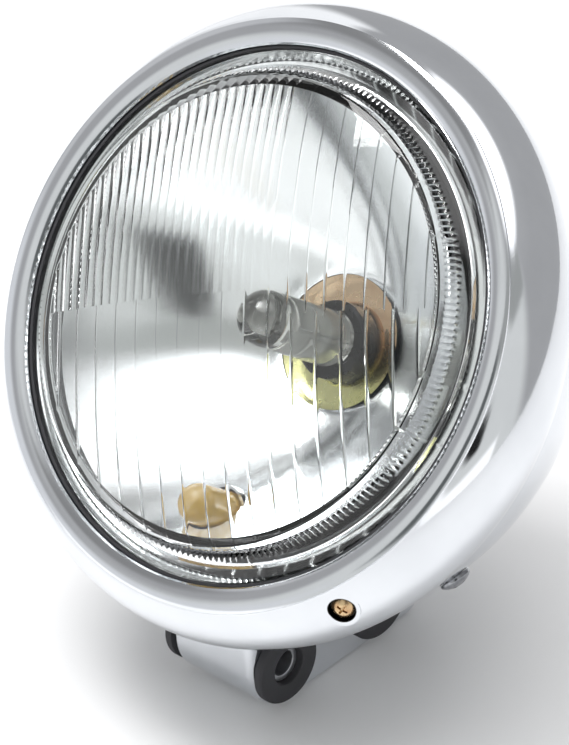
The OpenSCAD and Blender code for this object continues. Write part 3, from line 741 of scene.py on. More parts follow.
def lamp_matrix(crown: float = 0.8 * MM) -> Matrix:
    """Place of the lamp's own frame in the row's frame.

    Args:
        crown: Height of the rim's crown ahead of the plane of its front edge.

    Returns:
        The matrix that takes the lamp's frame to the row's frame.
    """
    entry = mount_named("cable_entry")
    forward = -Vector(entry["axis"]).normalized()
    on_axis = Vector(entry["pos_m"])
    side = Vector((1.0, 0.0, 0.0))
    front = max((v.co - on_axis).dot(forward) for v in frame["nodes"]["rim"].data.vertices)
    origin = on_axis + forward * (front - crown)
    turn = Matrix((side, forward.cross(side), forward)).transposed()
    return Matrix.Translation(origin) @ turn.to_4x4()


LAMP = lamp_matrix()


def facing(place: Vector, outward: Vector, spin: float = 0.0) -> Matrix:
    """Place whose z axis points along outward, spun about it by degrees."""
    turn = outward.to_track_quat("Z", "Y").to_matrix().to_4x4()
    return Matrix.Translation(place) @ turn @ Matrix.Rotation(math.radians(spin), 4, "Z")


class SubAssembly:
    """A group of pieces that is built in its own frame and dressed together."""

    place: ClassVar[Matrix] = LAMP

    def settle(self, piece: Piece, finish: Material, slot: str, *nodes: str) -> None:
        """Puts a piece in its place and gives it its finish and body.

        Args:
            piece: The finished piece.
            finish: Its material.
            slot: The record's material slot that it stands for; not used.
            *nodes: The nodes of the frame that it replaces.
        """
        moved(piece, self.place)
        piece.data.materials.clear()
        piece.data.materials.append(finish)
        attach(piece, BODY)
        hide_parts(*nodes)
        LOG.info("%s: %d faces in place of %s", piece.name, len(piece.data.polygons),
                 ", ".join(nodes))

    def dress(self, finish: Material, *nodes: str) -> None:
        """Gives nodes of the frame that stay as they are their finish."""
        for node in nodes:
            part = frame["nodes"][node]
            part.data.materials.clear()
            part.data.materials.append(finish)
            LOG.info("%s: kept from the frame", node)


@dataclass
class Screw:
    """A pan-head screw with a cross recess. Its head's underside lies at z = 0."""

    head_r: float
    head_h: float
    shank_r: float
    length: float
    edge: float = 0.35 * MM
    crown: float = 1.5
    crown_share: float = 0.93
    recess_reach: float = 0.6
    recess_width: float = 0.12
    recess_floor: float = 0.35
    recess_above: float = 1.5
    recess_taper: float = 0.72

    def build(self) -> Piece:
        """Makes one screw."""
        crown_r = self.head_r * self.crown
        centre = self.head_h - crown_r
        rim_h = centre + math.sqrt(crown_r ** 2 - self.head_r ** 2)
        tilt = math.degrees(math.asin(self.head_r / crown_r))
        crown = arc((0.0, centre), crown_r, 90.0 - tilt * self.crown_share, 90.0, 8)
        outline = rounded([(0.0, -self.length, 0.0), (self.shank_r, -self.length, 0.0),
                           (self.shank_r, 0.0, 0.0), (self.head_r, 0.0, self.edge),
                           (self.head_r, rim_h, self.edge), (*crown[0], 0.0)])
        screw = turned("screw_body", outline + crown[1:])
        reach, width = self.head_r * self.recess_reach, self.head_r * self.recess_width
        floor, above = self.head_h * self.recess_floor, self.head_h * self.recess_above
        for x, y in ((reach, width), (width, reach)):
            screw = carved(screw, block("slot", (-x, -y, floor), (x, y, above), self.recess_taper))
        return screw


# Rim and seal


@dataclass
class Rim(SubAssembly):
    """Chromed rim with its screw, the hook opposite it and the seal round the glass."""

    opening_r: float = 82.1 * MM
    ridge_r: float = 90.2 * MM
    widest_r: float = 98.0 * MM
    widest_at: float = 17.0 * MM
    depth: float = 27.0 * MM
    wall: float = 1.2 * MM
    crown: float = 0.8 * MM
    ridge_drop: float = 0.6 * MM
    ridge_step: float = 0.05 * MM
    lip_depth: float = 2.5 * MM
    hem_r: float = 91.3 * MM
    screw_angle: float = 45.0
    screw_band_angle: float = 30.0
    screw_lean: float = 45.0
    screw_spin: float = 25.0
    lip_round: float = 0.45 * MM
    lip_edge: float = 0.2 * MM
    sunk: float = 0.2 * MM
    hole_taper: float = 0.3 * MM
    hole_round: float = 0.4 * MM
    hole_top: float = 8.0 * MM
    recess_r: float = 4.4 * MM
    recess_depth: float = 2.2 * MM
    hook_turn: float = 9.0
    hook_reach: float = 3.0 * MM
    hook_gap: float = 0.2 * MM
    bucket_front: float = -14.0 * MM
    bucket_bore_r: float = 89.8 * MM
    glass_r: float = 84.5 * MM
    glass_back: float = -6.7 * MM
    seal_t: float = 2.4 * MM
    seal_lip_t: float = 1.0 * MM
    seal_shows: float = 1.2 * MM
    seal_rise: float = 1.5 * MM
    seal_round: float = 0.3 * MM
    screw: Screw = field(default_factory=lambda: Screw(3.55 * MM, 2.2 * MM, 2.0 * MM, 13.0 * MM))

    def __post_init__(self) -> None:
        """Works out the band, an arc from the ridge to the rim's widest place."""
        rise, out = self.widest_at - self.ridge_drop, self.widest_r - self.ridge_r
        self.band_angle = math.degrees(2 * math.atan(out / rise))
        self.band_r = rise / math.sin(math.radians(self.band_angle))
        self.band_centre = (self.widest_r - self.band_r, -self.widest_at)

    def flange(self) -> list[Point]:
        """The crowned front flange from its inner edge to the ridge."""
        half = (self.ridge_r - self.opening_r) / 2
        bow_r = (half ** 2 + self.crown ** 2) / (2 * self.crown)
        lean = math.degrees(math.asin(half / bow_r))
        centre = (self.opening_r + half, self.crown - bow_r)
        return arc(centre, bow_r, 90 + lean, 90 - lean, 14)

    def screw_place(self, turn: float) -> Matrix:
        """Place of a rim screw's head, its z axis pointing out of the head."""
        turn = math.radians(turn - 90)
        band = math.radians(self.screw_band_angle)
        out = self.band_centre[0] + self.band_r * math.cos(band)
        ahead = self.band_centre[1] + self.band_r * math.sin(band)
        lean = math.radians(self.screw_lean)
        radial = Vector((math.cos(turn), math.sin(turn), 0.0))
        axis = radial * math.sin(lean) + Vector((0.0, 0.0, math.cos(lean)))
        return facing(radial * out + Vector((0.0, 0.0, ahead)), axis, self.screw_spin)

    def shell(self) -> Piece:
        """The rim's pressed sheet."""
        rear_angle = -math.degrees(math.asin((self.depth - self.widest_at) / self.band_r))
        outside = arc(self.band_centre, self.band_r, self.band_angle, rear_angle, 44)
        inside = arc(self.band_centre, self.band_r - self.wall, rear_angle, self.band_angle - 2.0,
                     30)
        edge = self.lip_edge
        front = [(self.opening_r + edge, -self.lip_depth), (self.opening_r, edge - self.lip_depth),
                 (self.opening_r, -self.lip_round)]
        front += [(r, z) for r, z in self.flange() if r > self.opening_r + self.lip_round / 2]
        hem = [(self.hem_r, -self.depth), (self.hem_r, -self.depth + self.wall)]
        outline = front + [(self.ridge_r + self.ridge_step, -self.ridge_drop)] + outside[1:] + hem
        outline += [p for p in inside if p[1] > -self.depth + self.wall]
        outline += [(self.ridge_r - self.wall, -self.wall),
                    (self.opening_r + self.wall, -self.wall),
                    (self.opening_r + self.wall, -self.lip_depth)]
        return turned("rim_shell", outline, LARGE_FACETS)

    def hook(self) -> Piece:
        """The tongue of the hem that hooks over the bucket's front edge."""
        top, foot = self.bucket_front + self.hook_gap, -self.depth + self.hook_gap / 2
        arm = self.bucket_bore_r - 2 * self.hook_gap
        outline = [(self.hem_r, foot), (self.hem_r, top), (arm, top), (arm, top - self.hook_reach),
                   (arm - self.wall, top - self.hook_reach), (arm - self.wall, top + self.wall),
                   (self.hem_r + self.wall, top + self.wall), (self.hem_r + self.wall, foot)]
        start = 90 + self.screw_angle - self.hook_turn / 2
        turns = [math.radians(turn) for turn in spaced(start, start + self.hook_turn, 12)]
        return lofted("rim_hook", [[(r * math.cos(a), r * math.sin(a), z) for r, z in outline]
                                   for a in turns])

    def build(self) -> None:
        """Makes the rim, its screw and the seal."""
        place, deep, r = self.screw_place(self.screw_angle), -self.recess_depth, self.recess_r
        cup = rod("recess_cup", r + self.wall, deep - self.wall, -self.sunk)
        hole = turned("recess_hole", rounded(
            [(0.0, deep, 0.0), (r - self.hole_taper, deep, self.hole_round),
             (r, self.hole_top, 0.0), (0.0, self.hole_top, 0.0)]))
        rim = carved(self.shell(), self.hook(), Cut.JOIN)
        rim = carved(carved(rim, moved(cup, place), Cut.JOIN), moved(hole, place))
        # painted shade: the chrome is near-black inside the screw recess
        self.settle(rim, RIM_CHROME.around(LAMP @ place, r + SEAT_GAP), "chrome", "rim")
        screw = moved(self.screw.build(), place @ Matrix.Translation((0, 0, deep)))
        screw.name = "rim_screw"
        self.settle(screw, YELLOW_ZINC.material(), "zinc_yellow", "rim_screws")
        self.seal()

    def seal(self) -> None:
        """Makes the seal, whose bead stands up between the rim's lip and the glass."""
        inner, outer = self.glass_r + SEAT_GAP, self.glass_r + SEAT_GAP + self.seal_t
        top, bead_r = -self.lip_depth - SEAT_GAP, self.opening_r - SEAT_GAP
        lip_r, lip_back = self.opening_r - self.seal_shows, top - self.seal_lip_t
        e = self.seal_round
        seal = turned("glass_seal", rounded(
            [(inner, self.glass_back, e), (outer, self.glass_back, e), (outer, top, e),
             (bead_r, top, 0.0), (bead_r, top + self.seal_rise, e),
             (lip_r, top + self.seal_rise, e), (lip_r, lip_back, e), (inner, lip_back, 0.0)]),
            LARGE_FACETS)
        self.settle(seal, RUBBER.material(), "black_rubber", "lens_seal")


# Pressed glass


@dataclass
class FluteBlock:
    """A block of upright flutes between two sides of the glass."""

    left: float
    right: float
    width: float
    sharp: float = 4.0
    deep: float = 1.0
    middle: float = 0.6
    end: float = 2.2
    rise: float = 5.0

    def pitch(self) -> float:
        """Width of one flute once they fill the block evenly."""
        return (self.right - self.left) / max(1, round((self.right - self.left) / self.width))

    def phase(self, x: float) -> float:
        """Place across one flute, from 0 at its left edge to 1 at its right."""
        share = (x - self.left) / self.pitch()
        return share - math.floor(share + 1e-6)

    def deep_at(self, share: float) -> float:
        """Height of the flutes at a share of the way from the middle to the glass's edge."""
        return self.deep * (self.middle + (self.end - self.middle) * share ** self.rise)

    def edges(self) -> list[float]:
        """Places of the edges between the flutes."""
        return spaced(self.left, self.right, round((self.right - self.left) / self.pitch()))


class Corners:
    """Corners of a glass in the making, each with its share of the pressed pattern."""

    MARKS = "rib_share", "flute_phase", "flute_sharp", "flute_deep"

    def __init__(self) -> None:
        """Starts without corners."""
        self.points: list[tuple[float, float, float]] = []
        self.marks: list[tuple[float, ...]] = []
        self.faces: list[tuple[int, ...]] = []

    def add(self, x: float, y: float, z: float, *marks: float) -> int:
        """Adds a corner and gives its number; marks that aren't given are 0."""
        self.points.append((x, y, z))
        self.marks.append((*marks, 0.0, 0.0, 0.0, 0.0)[:len(self.MARKS)])
        return len(self.points) - 1

    def ring(self, radius: float, z: float, turns: Iterable[float], *marks: float) -> list[int]:
        """Adds a corner at each angle round the axis."""
        return [self.add(radius * math.cos(a), radius * math.sin(a), z, *marks) for a in turns]

    def angle(self, corner: int) -> float:
        """Angle of a corner round the axis."""
        return math.atan2(self.points[corner][1], self.points[corner][0])

    def band(self, a: Sequence[int], b: Sequence[int]) -> None:
        """Joins two loops with the same number of corners."""
        count = len(a)
        self.faces += [(a[k], a[(k + 1) % count], b[(k + 1) % count], b[k]) for k in range(count)]

    def zip_loops(self, inner: Sequence[int], outer: Sequence[int]) -> None:
        """Joins two loops that have different numbers of corners by triangles.

        Args:
            inner: Corners of the first loop, in order of their angle.
            outer: Corners of the second loop.
        """
        outer = sorted(outer, key=self.angle)
        i = j = 0
        while i < len(inner) or j < len(outer):
            here, there = inner[i % len(inner)], outer[j % len(outer)]
            next_in = self.angle(inner[i]) if i < len(inner) else math.inf
            next_out = self.angle(outer[j]) if j < len(outer) else math.inf
            if next_in <= next_out:
                i += 1
                self.faces.append((here, inner[i % len(inner)], there))
            else:
                j += 1
                self.faces.append((here, outer[j % len(outer)], there))

    def piece(self, name: str) -> Piece:
        """Makes the mesh, with each mark as an attribute."""
        mesh = bpy.data.meshes.new(name)
        mesh.from_pydata(self.points, [], self.faces)
        for mark, values in zip(self.MARKS, zip(*self.marks)):
            mesh.attributes.new(mark, "FLOAT", "POINT").data.foreach_set("value", values)
        return placed(name, mesh)


@dataclass
class PressedGlass(SubAssembly):
    """Domed glass with a ribbed skirt outside and blocks of upright flutes inside."""

    edge_r: float = 84.5 * MM
    collar_r: float = 80.7 * MM
    collar_edge: float = 0.4 * MM
    collar_foot: float = -2.5 * MM
    skirt_r: float = 74.5 * MM
    face_r: float = 71.6 * MM
    back_r: float = 72.5 * MM
    edge_front: float = -3.7 * MM
    edge_back: float = -6.7 * MM
    skirt_foot: float = 2.6 * MM
    face_foot: float = 9.0 * MM
    top: float = 20.0 * MM
    thickness: float = 4.0 * MM
    ribs: int = 230
    rib_depth: float = 1.1 * MM
    rib_reach: float = 0.72
    collar_dip: float = 0.25 * MM
    flute_height: float = 0.3 * MM
    flat_sharp: float = 26.0
    flat_deep: float = 0.5
    line_half: float = 0.25 * MM
    flute_turn: float = 26.0
    block_side: float = 16.0 * MM
    block_middle: float = 4.0 * MM
    upper_flute: float = 3.2 * MM
    side_flute: float = 6.2 * MM
    lower_flute: float = 7.8 * MM
    wall_share: float = 0.9
    column_step: float = 0.45 * MM
    row_steps: tuple[int, int, int] = (16, 3, 16)
    rib_steps: int = 4
    rib_swell: float = 0.35
    edge_round: float = 0.3 * MM
    face_bevel: float = 0.1 * MM
    shoulder: float = 0.9 * MM
    slope_steps: int = 10
    skirt_steps: int = 16
    dome_steps: int = 26
    back_step: float = 1.0 * MM
    clear: float = 0.04 * MM

    def __post_init__(self) -> None:
        """Works out the dome's radius and the blocks of flutes."""
        rise = self.top - self.face_foot
        self.dome_r = (self.face_r ** 2 + rise ** 2) / (2 * rise)
        self.inner_r = self.face_r - self.wall_share * self.thickness
        left, right = (-self.face_r, self.block_side), (self.block_side, self.face_r)
        flat = self.flat_sharp, self.flat_deep
        self.upper = FluteBlock(*left, self.upper_flute)
        self.side = FluteBlock(*right, self.side_flute, *flat)
        self.lower = FluteBlock(*left, self.lower_flute, *flat)
        self.corner = FluteBlock(*right, self.lower_flute, *flat)

    def dome(self, r: float) -> float:
        """Height of the dome's outside at a distance from the axis."""
        return self.top - self.dome_r + math.sqrt(self.dome_r ** 2 - r ** 2)

    def outside_rings(self) -> list[tuple[float, float, float]]:
        """Radius, height and share of ribbing of each ring of the outside, from the back in."""
        e, top_r = self.edge_round, self.collar_r - self.collar_edge
        rise = self.skirt_foot - self.collar_foot
        plain = [(self.edge_r, self.edge_back), (self.edge_r, self.edge_front - e),
                 (self.edge_r - e, self.edge_front), (self.collar_r + e, self.edge_front),
                 (self.collar_r, self.edge_front + e),
                 (self.collar_r - self.collar_edge * 0.4, self.collar_foot - e)]
        rings = [(r, z, 0.0) for r, z in plain]
        for share in spaced(0.0, 1.0, self.slope_steps):
            dip = self.collar_dip * math.sin(math.pi * share)
            rings.append((top_r + (self.skirt_r - top_r) * share,
                          self.collar_foot + rise * share - dip, 0.0))
        for share in spaced(0.0, 1.0, self.skirt_steps):
            ribbed = math.sin(math.pi * min(1.0, share / self.rib_reach))
            rings.append((self.skirt_r + (self.face_r - self.skirt_r) * share,
                          self.skirt_foot + (self.face_foot - self.skirt_foot) * share,
                          max(0.0, ribbed) ** self.rib_swell))
        outer = self.face_r - self.face_bevel
        rings.append((outer, self.face_foot + self.face_bevel / 2, 0.0))
        for share in (0.35, 0.7, 1.0):
            r = outer - self.shoulder * share
            rings.append((r, self.dome(r) - self.face_bevel * (1 - share), 0.0))
        domed = spaced(outer - self.shoulder, 0.0, self.dome_steps)[1:-1]
        return rings + [(r, self.dome(r), 0.0) for r in domed]

    def columns(self) -> list[float]:
        """Places across the glass of the inside's columns, with one on each flute's edge."""
        reach = self.inner_r - self.clear
        edges = {round(e, 7) for b in (self.upper, self.side, self.lower, self.corner)
                 for e in b.edges() if abs(e) < reach}
        places = spaced(-reach, reach, int(2 * reach / self.column_step))
        free = [p for p in places if all(abs(p - e) > 1.6 * self.line_half for e in edges)]
        beside = [e + side * self.line_half for e in edges for side in (-1, 1)
                  if abs(e + side * self.line_half) < reach]
        return sorted(free + beside + list(edges))

    def column(self, made: Corners, x: float) -> list[int]:
        """Adds one column of the fluted inside, from its lower end up."""
        half = math.sqrt(self.inner_r ** 2 - x ** 2)
        middle = min(self.block_middle, half)
        blocks = self.corner, self.side, self.side
        if x <= self.block_side:
            blocks = self.lower, self.lower, self.upper
        stops = (-half, -middle), (-middle, middle), (middle, half)
        turn = Matrix.Rotation(math.radians(self.flute_turn), 2)
        rows = []
        for (low, high), steps, flutes in zip(stops, self.row_steps, blocks):
            for y in spaced(low, high, steps):
                spot, far = turn @ Vector((x, y)), math.hypot(x, y)
                rows.append(made.add(spot.x, spot.y, self.dome(far) - self.thickness, 0.0,
                                     flutes.phase(x), flutes.sharp,
                                     flutes.deep_at(far / self.inner_r)))
        return rows

    def blank(self) -> Piece:
        """The plain glass, with how far each corner takes part in the ribs and flutes."""
        made = Corners()
        turns = spaced(0.0, math.tau, self.ribs * self.rib_steps)[:-1]
        rings = [made.ring(r, z, turns, share) for r, z, share in self.outside_rings()]
        for a, b in zip(rings, rings[1:]):
            made.band(a, b)
        last, tip = rings[-1], made.add(0.0, 0.0, self.top)
        made.faces += [(a, b, tip) for a, b in zip(last, last[1:] + last[:1])]
        grid = [self.column(made, x) for x in self.columns()]
        for a, b in zip(grid, grid[1:]):
            made.faces += [(a[i], b[i], b[i + 1], a[i + 1]) for i in range(len(a) - 1)]
        border = [c[-1] for c in grid] + grid[-1] + [c[0] for c in grid] + grid[0]
        last = sorted(dict.fromkeys(border), key=made.angle)
        turns = [made.angle(i) for i in last]
        for z in (self.edge_back + self.back_step, self.edge_back):
            ring = made.ring(self.back_r, z, turns)
            made.band(last, ring)
            last = ring
        made.zip_loops(last, rings[0])
        return made.piece("fluted_glass")

    def moulding_tree(self) -> NodeTree:
        """Tree that presses the ribs and the flutes into the plain glass."""
        tree = GeoTree("pressed_pattern")
        for name in ("Ribs", "Rib depth", "Flute height"):
            tree.socket(name, "NodeSocketFloat")
        spot = tree.add("GeometryNodeInputPosition").outputs[0]
        parts = tree.add("ShaderNodeSeparateXYZ", None, Vector=spot).outputs
        turn = tree.math("ARCTAN2", parts["Y"], parts["X"])
        wave = tree.math("COSINE", tree.math("MULTIPLY", turn, tree.value("Ribs")))
        dip = tree.math("MULTIPLY", tree.math("SUBTRACT", wave, 1.0), 0.5)
        dip = tree.math("MULTIPLY", dip, tree.math("MULTIPLY", tree.value("Rib depth"),
                                                   tree.attribute("rib_share")))
        ray = tree.add("ShaderNodeCombineXYZ", None, X=parts["X"], Y=parts["Y"]).outputs[0]
        ray = tree.vector("NORMALIZE", ray).outputs[0]
        inward = plug(tree.vector("SCALE", ray), Scale=dip).outputs[0]
        phase = tree.attribute("flute_phase")
        bow = tree.math("MULTIPLY", phase, tree.math("SUBTRACT", 1.0, phase))
        bow = tree.math("MINIMUM", tree.math("MULTIPLY", bow, tree.attribute("flute_sharp")), 1.0)
        drop = tree.math("MULTIPLY", tree.math("MULTIPLY", bow, tree.attribute("flute_deep")),
                         tree.math("MULTIPLY", tree.value("Flute height"), -1.0))
        down = tree.add("ShaderNodeCombineXYZ", None, Z=drop).outputs[0]
        pressed = tree.add("GeometryNodeSetPosition", None, Geometry=tree.value("Geometry"),
                           Offset=tree.vector("ADD", inward, down).outputs[0])
        return tree.close(pressed.outputs[0])

    def build(self) -> None:
        """Makes the glass."""
        finish = LENS.material()
        glass = run_tree(self.blank(), self.moulding_tree(), Ribs=float(self.ribs),
                         Rib_depth=self.rib_depth, Flute_height=self.flute_height, Finish=finish)
        tidy_mesh(glass, 0.001 * MM, 28.0)
        self.settle(glass, finish, "clear_glass", "glass_lens")


# Reflector and bulbs


@dataclass
class Reflector(SubAssembly):
    """Bright bowl behind the glass, with its neck and the tube for the pilot lamp."""

    mouth_r: float = 73.5 * MM
    flange_r: float = 84.5 * MM
    front: float = -6.8 * MM
    wall: float = 1.0 * MM
    depth: float = 42.0 * MM
    hole_r: float = 20.5 * MM
    neck: float = 5.0 * MM
    pilot_drop: float = 59.0 * MM
    pilot_tube_r: float = 8.0 * MM
    pilot_bore_r: float = 7.2 * MM
    pilot_tube_l: float = 12.0 * MM
    pilot_sunk: float = 3.2 * MM
    back_share: float = 1.4
    hole_round: float = 0.6 * MM
    hole_drop: float = 0.55 * MM
    steps: int = 44
    facets: int = 256

    def __post_init__(self) -> None:
        """Works out the bowl's curve and where its neck ends."""
        self.apex = self.front - self.wall - self.depth
        self.focus4 = self.mouth_r ** 2 / self.depth
        self.neck_front = self.bowl(self.hole_r)
        self.neck_back = self.neck_front - self.neck
        self.pilot_surface = self.bowl(self.pilot_drop)
        self.pilot_back = self.pilot_surface - self.pilot_tube_l

    def bowl(self, r: float) -> float:
        """Depth of the bowl's face at a distance from the axis."""
        return self.apex + r ** 2 / self.focus4

    def build(self) -> None:
        """Makes the reflector."""
        radii, wall = spaced(self.hole_r, self.mouth_r, self.steps)[1:], self.wall
        inside = [(r, self.bowl(r)) for r in radii]
        outside = [(r, self.bowl(r) - self.back_share * wall) for r in reversed(radii)]
        neck_edge = arc((self.hole_r + self.hole_round, self.neck_front - self.hole_drop),
                        self.hole_round, 180, 115, 5)
        outline = [(self.hole_r, self.neck_back)] + neck_edge + inside[1:]
        outline += [(self.mouth_r, self.front), (self.flange_r, self.front),
                    (self.flange_r, self.front - wall), (self.mouth_r + wall, self.front - wall)]
        outline += outside + [(self.hole_r + wall, self.neck_front - wall),
                              (self.hole_r + wall, self.neck_back)]
        bowl = turned("mirror_bowl", outline, self.facets)
        spot = Matrix.Translation((0.0, -self.pilot_drop, 0.0))
        back, sunk = self.pilot_back, self.pilot_surface - self.pilot_sunk
        tube = rod("pilot_tube", self.pilot_tube_r, back, sunk)
        bore = rod("pilot_bore", self.pilot_bore_r, back - wall, 20 * wall)
        bowl = carved(carved(bowl, moved(tube, spot), Cut.JOIN), moved(bore, spot))
        self.settle(bowl, MIRROR.material(), "mirror_coat", "reflector")
        self.dress(STEEL.material(), "unit_ring", "unit_clips")


@dataclass
class Bulbs(SubAssembly):
    """Main bulb in the reflector's neck and the pilot lamp below it."""

    bowl: Reflector
    glass_r: float = 8.6 * MM
    glass_l: float = 43.0 * MM
    glass_wall: float = 1.0 * MM
    base_r: float = 12.0 * MM
    base_h: float = 10.0 * MM
    # Radius round the axis inside which the bulb cap gets painted shade.
    shade_r: float = 12.8 * MM
    flange_t: float = 1.6 * MM
    pilot_r: float = 6.4 * MM
    pilot_l: float = 21.0 * MM
    pilot_sunk: float = 6.0 * MM
    pilot_taper: float = 0.6 * MM
    pilot_foot: float = 0.8 * MM
    lap: float = 1.5 * MM
    step: float = 1.0 * MM
    edge: float = 0.4 * MM
    base_facets: int = 128

    def build(self) -> None:
        """Makes the bulbs and dresses what is hidden behind them."""
        front, e, step = self.bowl.neck_back - SEAT_GAP, self.edge, self.step
        back, base_front = front - self.flange_t, front + self.base_h
        tip, r, wall = base_front + self.glass_l - self.glass_r, self.glass_r, self.glass_wall
        outline = [(r, base_front)] + arc((0.0, tip), r, 0, 90, 20)
        outline += arc((0.0, tip), r - wall, 90, 0, 20)
        outline += [(r - wall, base_front + wall), (0.0, base_front + wall), (0.0, base_front)]
        self.settle(turned("bulb_envelope", outline, MID_FACETS), BULB_CLEAR.material(),
                    "bulb_clear", "bulb_glass")
        flange_r, plug_r = self.bowl.hole_r + self.lap, self.base_r - 2 * step
        base = turned("bulb_cap", rounded(
            [(0.0, back - 4 * step, 0.0), (plug_r, back - 4 * step, e), (plug_r, back, 0.0),
             (flange_r, back, e), (flange_r, front, e), (self.base_r + step, front, 0.0),
             (self.base_r, front + 2 * step, e), (self.base_r, base_front - step, e),
             (self.base_r - step, base_front - SEAT_GAP, e), (0.0, base_front - SEAT_GAP, 0.0)]),
            self.base_facets)
        # painted shade: the cap is near-black near the lamp's axis, inside the reflector's neck
        self.settle(base, BULB_GOLD.around(LAMP, self.shade_r), "zinc_yellow", "bulb_base")
        foot, tip_r = self.bowl.pilot_surface - self.pilot_sunk, self.pilot_r
        outline = [(0.0, foot), (tip_r - self.pilot_taper, foot),
                   (tip_r, foot + self.pilot_foot)]
        outline += arc((0.0, foot + self.pilot_l - tip_r), tip_r, 0, 90, 16)
        pilot = moved(turned("pilot_envelope", outline),
                      Matrix.Translation((0.0, -self.bowl.pilot_drop, 0.0)))
        self.settle(pilot, AMBER.material(), "amber_glass", "pilot_bulb")
        self.dress(PLASTIC.material(), "pilot_holder")
        self.dress(BRIGHT_WIRE.material(), "bulb_filaments")
        self.dress(TINNED.material(), "bulb_terminals")
        self.dress(STEEL.material(), "bulb_spring")
        self.dress(RUBBER.material(), "bulb_boot")


# Bucket


@dataclass
class Bucket(SubAssembly):
    """Deep chromed shell behind the rim, with its side screws and cable grommet."""

    front_r: float = 91.0 * MM
    front: float = -14.0 * MM
    length: float = 96.0 * MM
    wall: float = 1.2 * MM
    bulge: float = 2.2
    root: float = 0.625
    hole_r: float = 12.0 * MM
    cable_r: float = 6.0 * MM
    screw_at: float = 43.5 * MM
    screw_angle: float = 37.0
    screw_spin: float = 20.0
    lip: float = 3.0 * MM
    lip_round: float = 0.6 * MM
    lip_step: float = 1.0 * MM
    fill_facets: int = 240
    screw: Screw = field(default_factory=lambda: Screw(5.05 * MM, 3.0 * MM, 3.0 * MM, 9.0 * MM))

    def radius(self, d: float, grow: float = 0.0) -> float:
        """Radius of the shell at a distance behind its front edge."""
        share = max(0.0, 1 - (d / (self.length + grow)) ** self.bulge)
        return (self.front_r + grow) * share ** self.root

    def depth_at(self, r: float, grow: float = 0.0) -> float:
        """Distance behind the front edge at which the shell has a radius."""
        share = 1 - (r / (self.front_r + grow)) ** (1 / self.root)
        return (self.length + grow) * share ** (1 / self.bulge)

    def side(self, grow: float = 0.0, steps: int = 60) -> list[Point]:
        """Outline of the shell from its front edge to the cable hole."""
        last = self.depth_at(self.hole_r, grow)
        places = [last * math.sin(turn) for turn in spaced(0.0, math.pi / 2, steps)]
        return [(self.radius(d, grow), self.front - d) for d in places]

    def solid(self, grow: float = 0.0) -> Piece:
        """The shell's outside as a filled solid in the row's frame."""
        side = self.side(grow)
        outline = [(0.0, self.front)] + side + [(0.0, side[-1][1])]
        return moved(turned("bucket_fill", outline, self.fill_facets), LAMP)

    def screw_place(self, angle: float) -> Matrix:
        """Place of a side screw, its z axis along the shell's outward normal."""
        step = 0.5 * MM
        fall = self.radius(self.screw_at - step) - self.radius(self.screw_at + step)
        lean = math.atan(fall / (2 * step))
        turn = math.radians(angle)
        radial = Vector((math.cos(turn), math.sin(turn), 0.0))
        outward = radial * math.cos(lean) - Vector((0.0, 0.0, math.sin(lean)))
        place = radial * self.radius(self.screw_at) + Vector((0.0, 0.0, self.front - self.screw_at))
        return facing(place + outward * SEAT_GAP, outward, self.screw_spin)

    def build(self) -> None:
        """Makes the shell, its screws and the grommet."""
        shell = turned("bucket_shell", self.side() + self.side(-self.wall)[::-1], LARGE_FACETS)
        self.settle(shell, CHROME.material(), "chrome", "bucket")
        angle, finish = self.screw_angle, SCREW_CHROME.material()
        places = [self.screw_place(a) for a in (angle, -angle, 180 - angle, 180 + angle)]
        self.settle(copies("side_screw_set", self.screw.build(), places, finish), finish,
                    "chrome_screw", "side_screws")
        r, e, step, seat = self.hole_r, self.lip_round, self.lip_step, self.hole_r - SEAT_GAP
        out = self.front - self.depth_at(r)
        low, inner = out - self.lip, out + self.wall
        high = inner + self.lip + step
        grommet = turned("cable_seal", rounded(
            [(self.cable_r, low, e), (r + step, low, e), (r + 2 * step, out - self.lip / 2, e),
             (r + 2 * step, out - SEAT_GAP, 0.0), (seat, out - SEAT_GAP, 0.0),
             (seat, inner + step / 2, 0.0), (r + 2 * step, inner + self.lip / 2 + step, e),
             (r + step, high, e), (self.cable_r, high, e)]), MID_FACETS)
        self.settle(grommet, RUBBER.material(), "black_rubber", "cable_grommet")
        self.dress(STEEL.material(), "side_nuts", "bracket_bolts", "bracket_washers",
                   "bracket_nuts")


# Foot


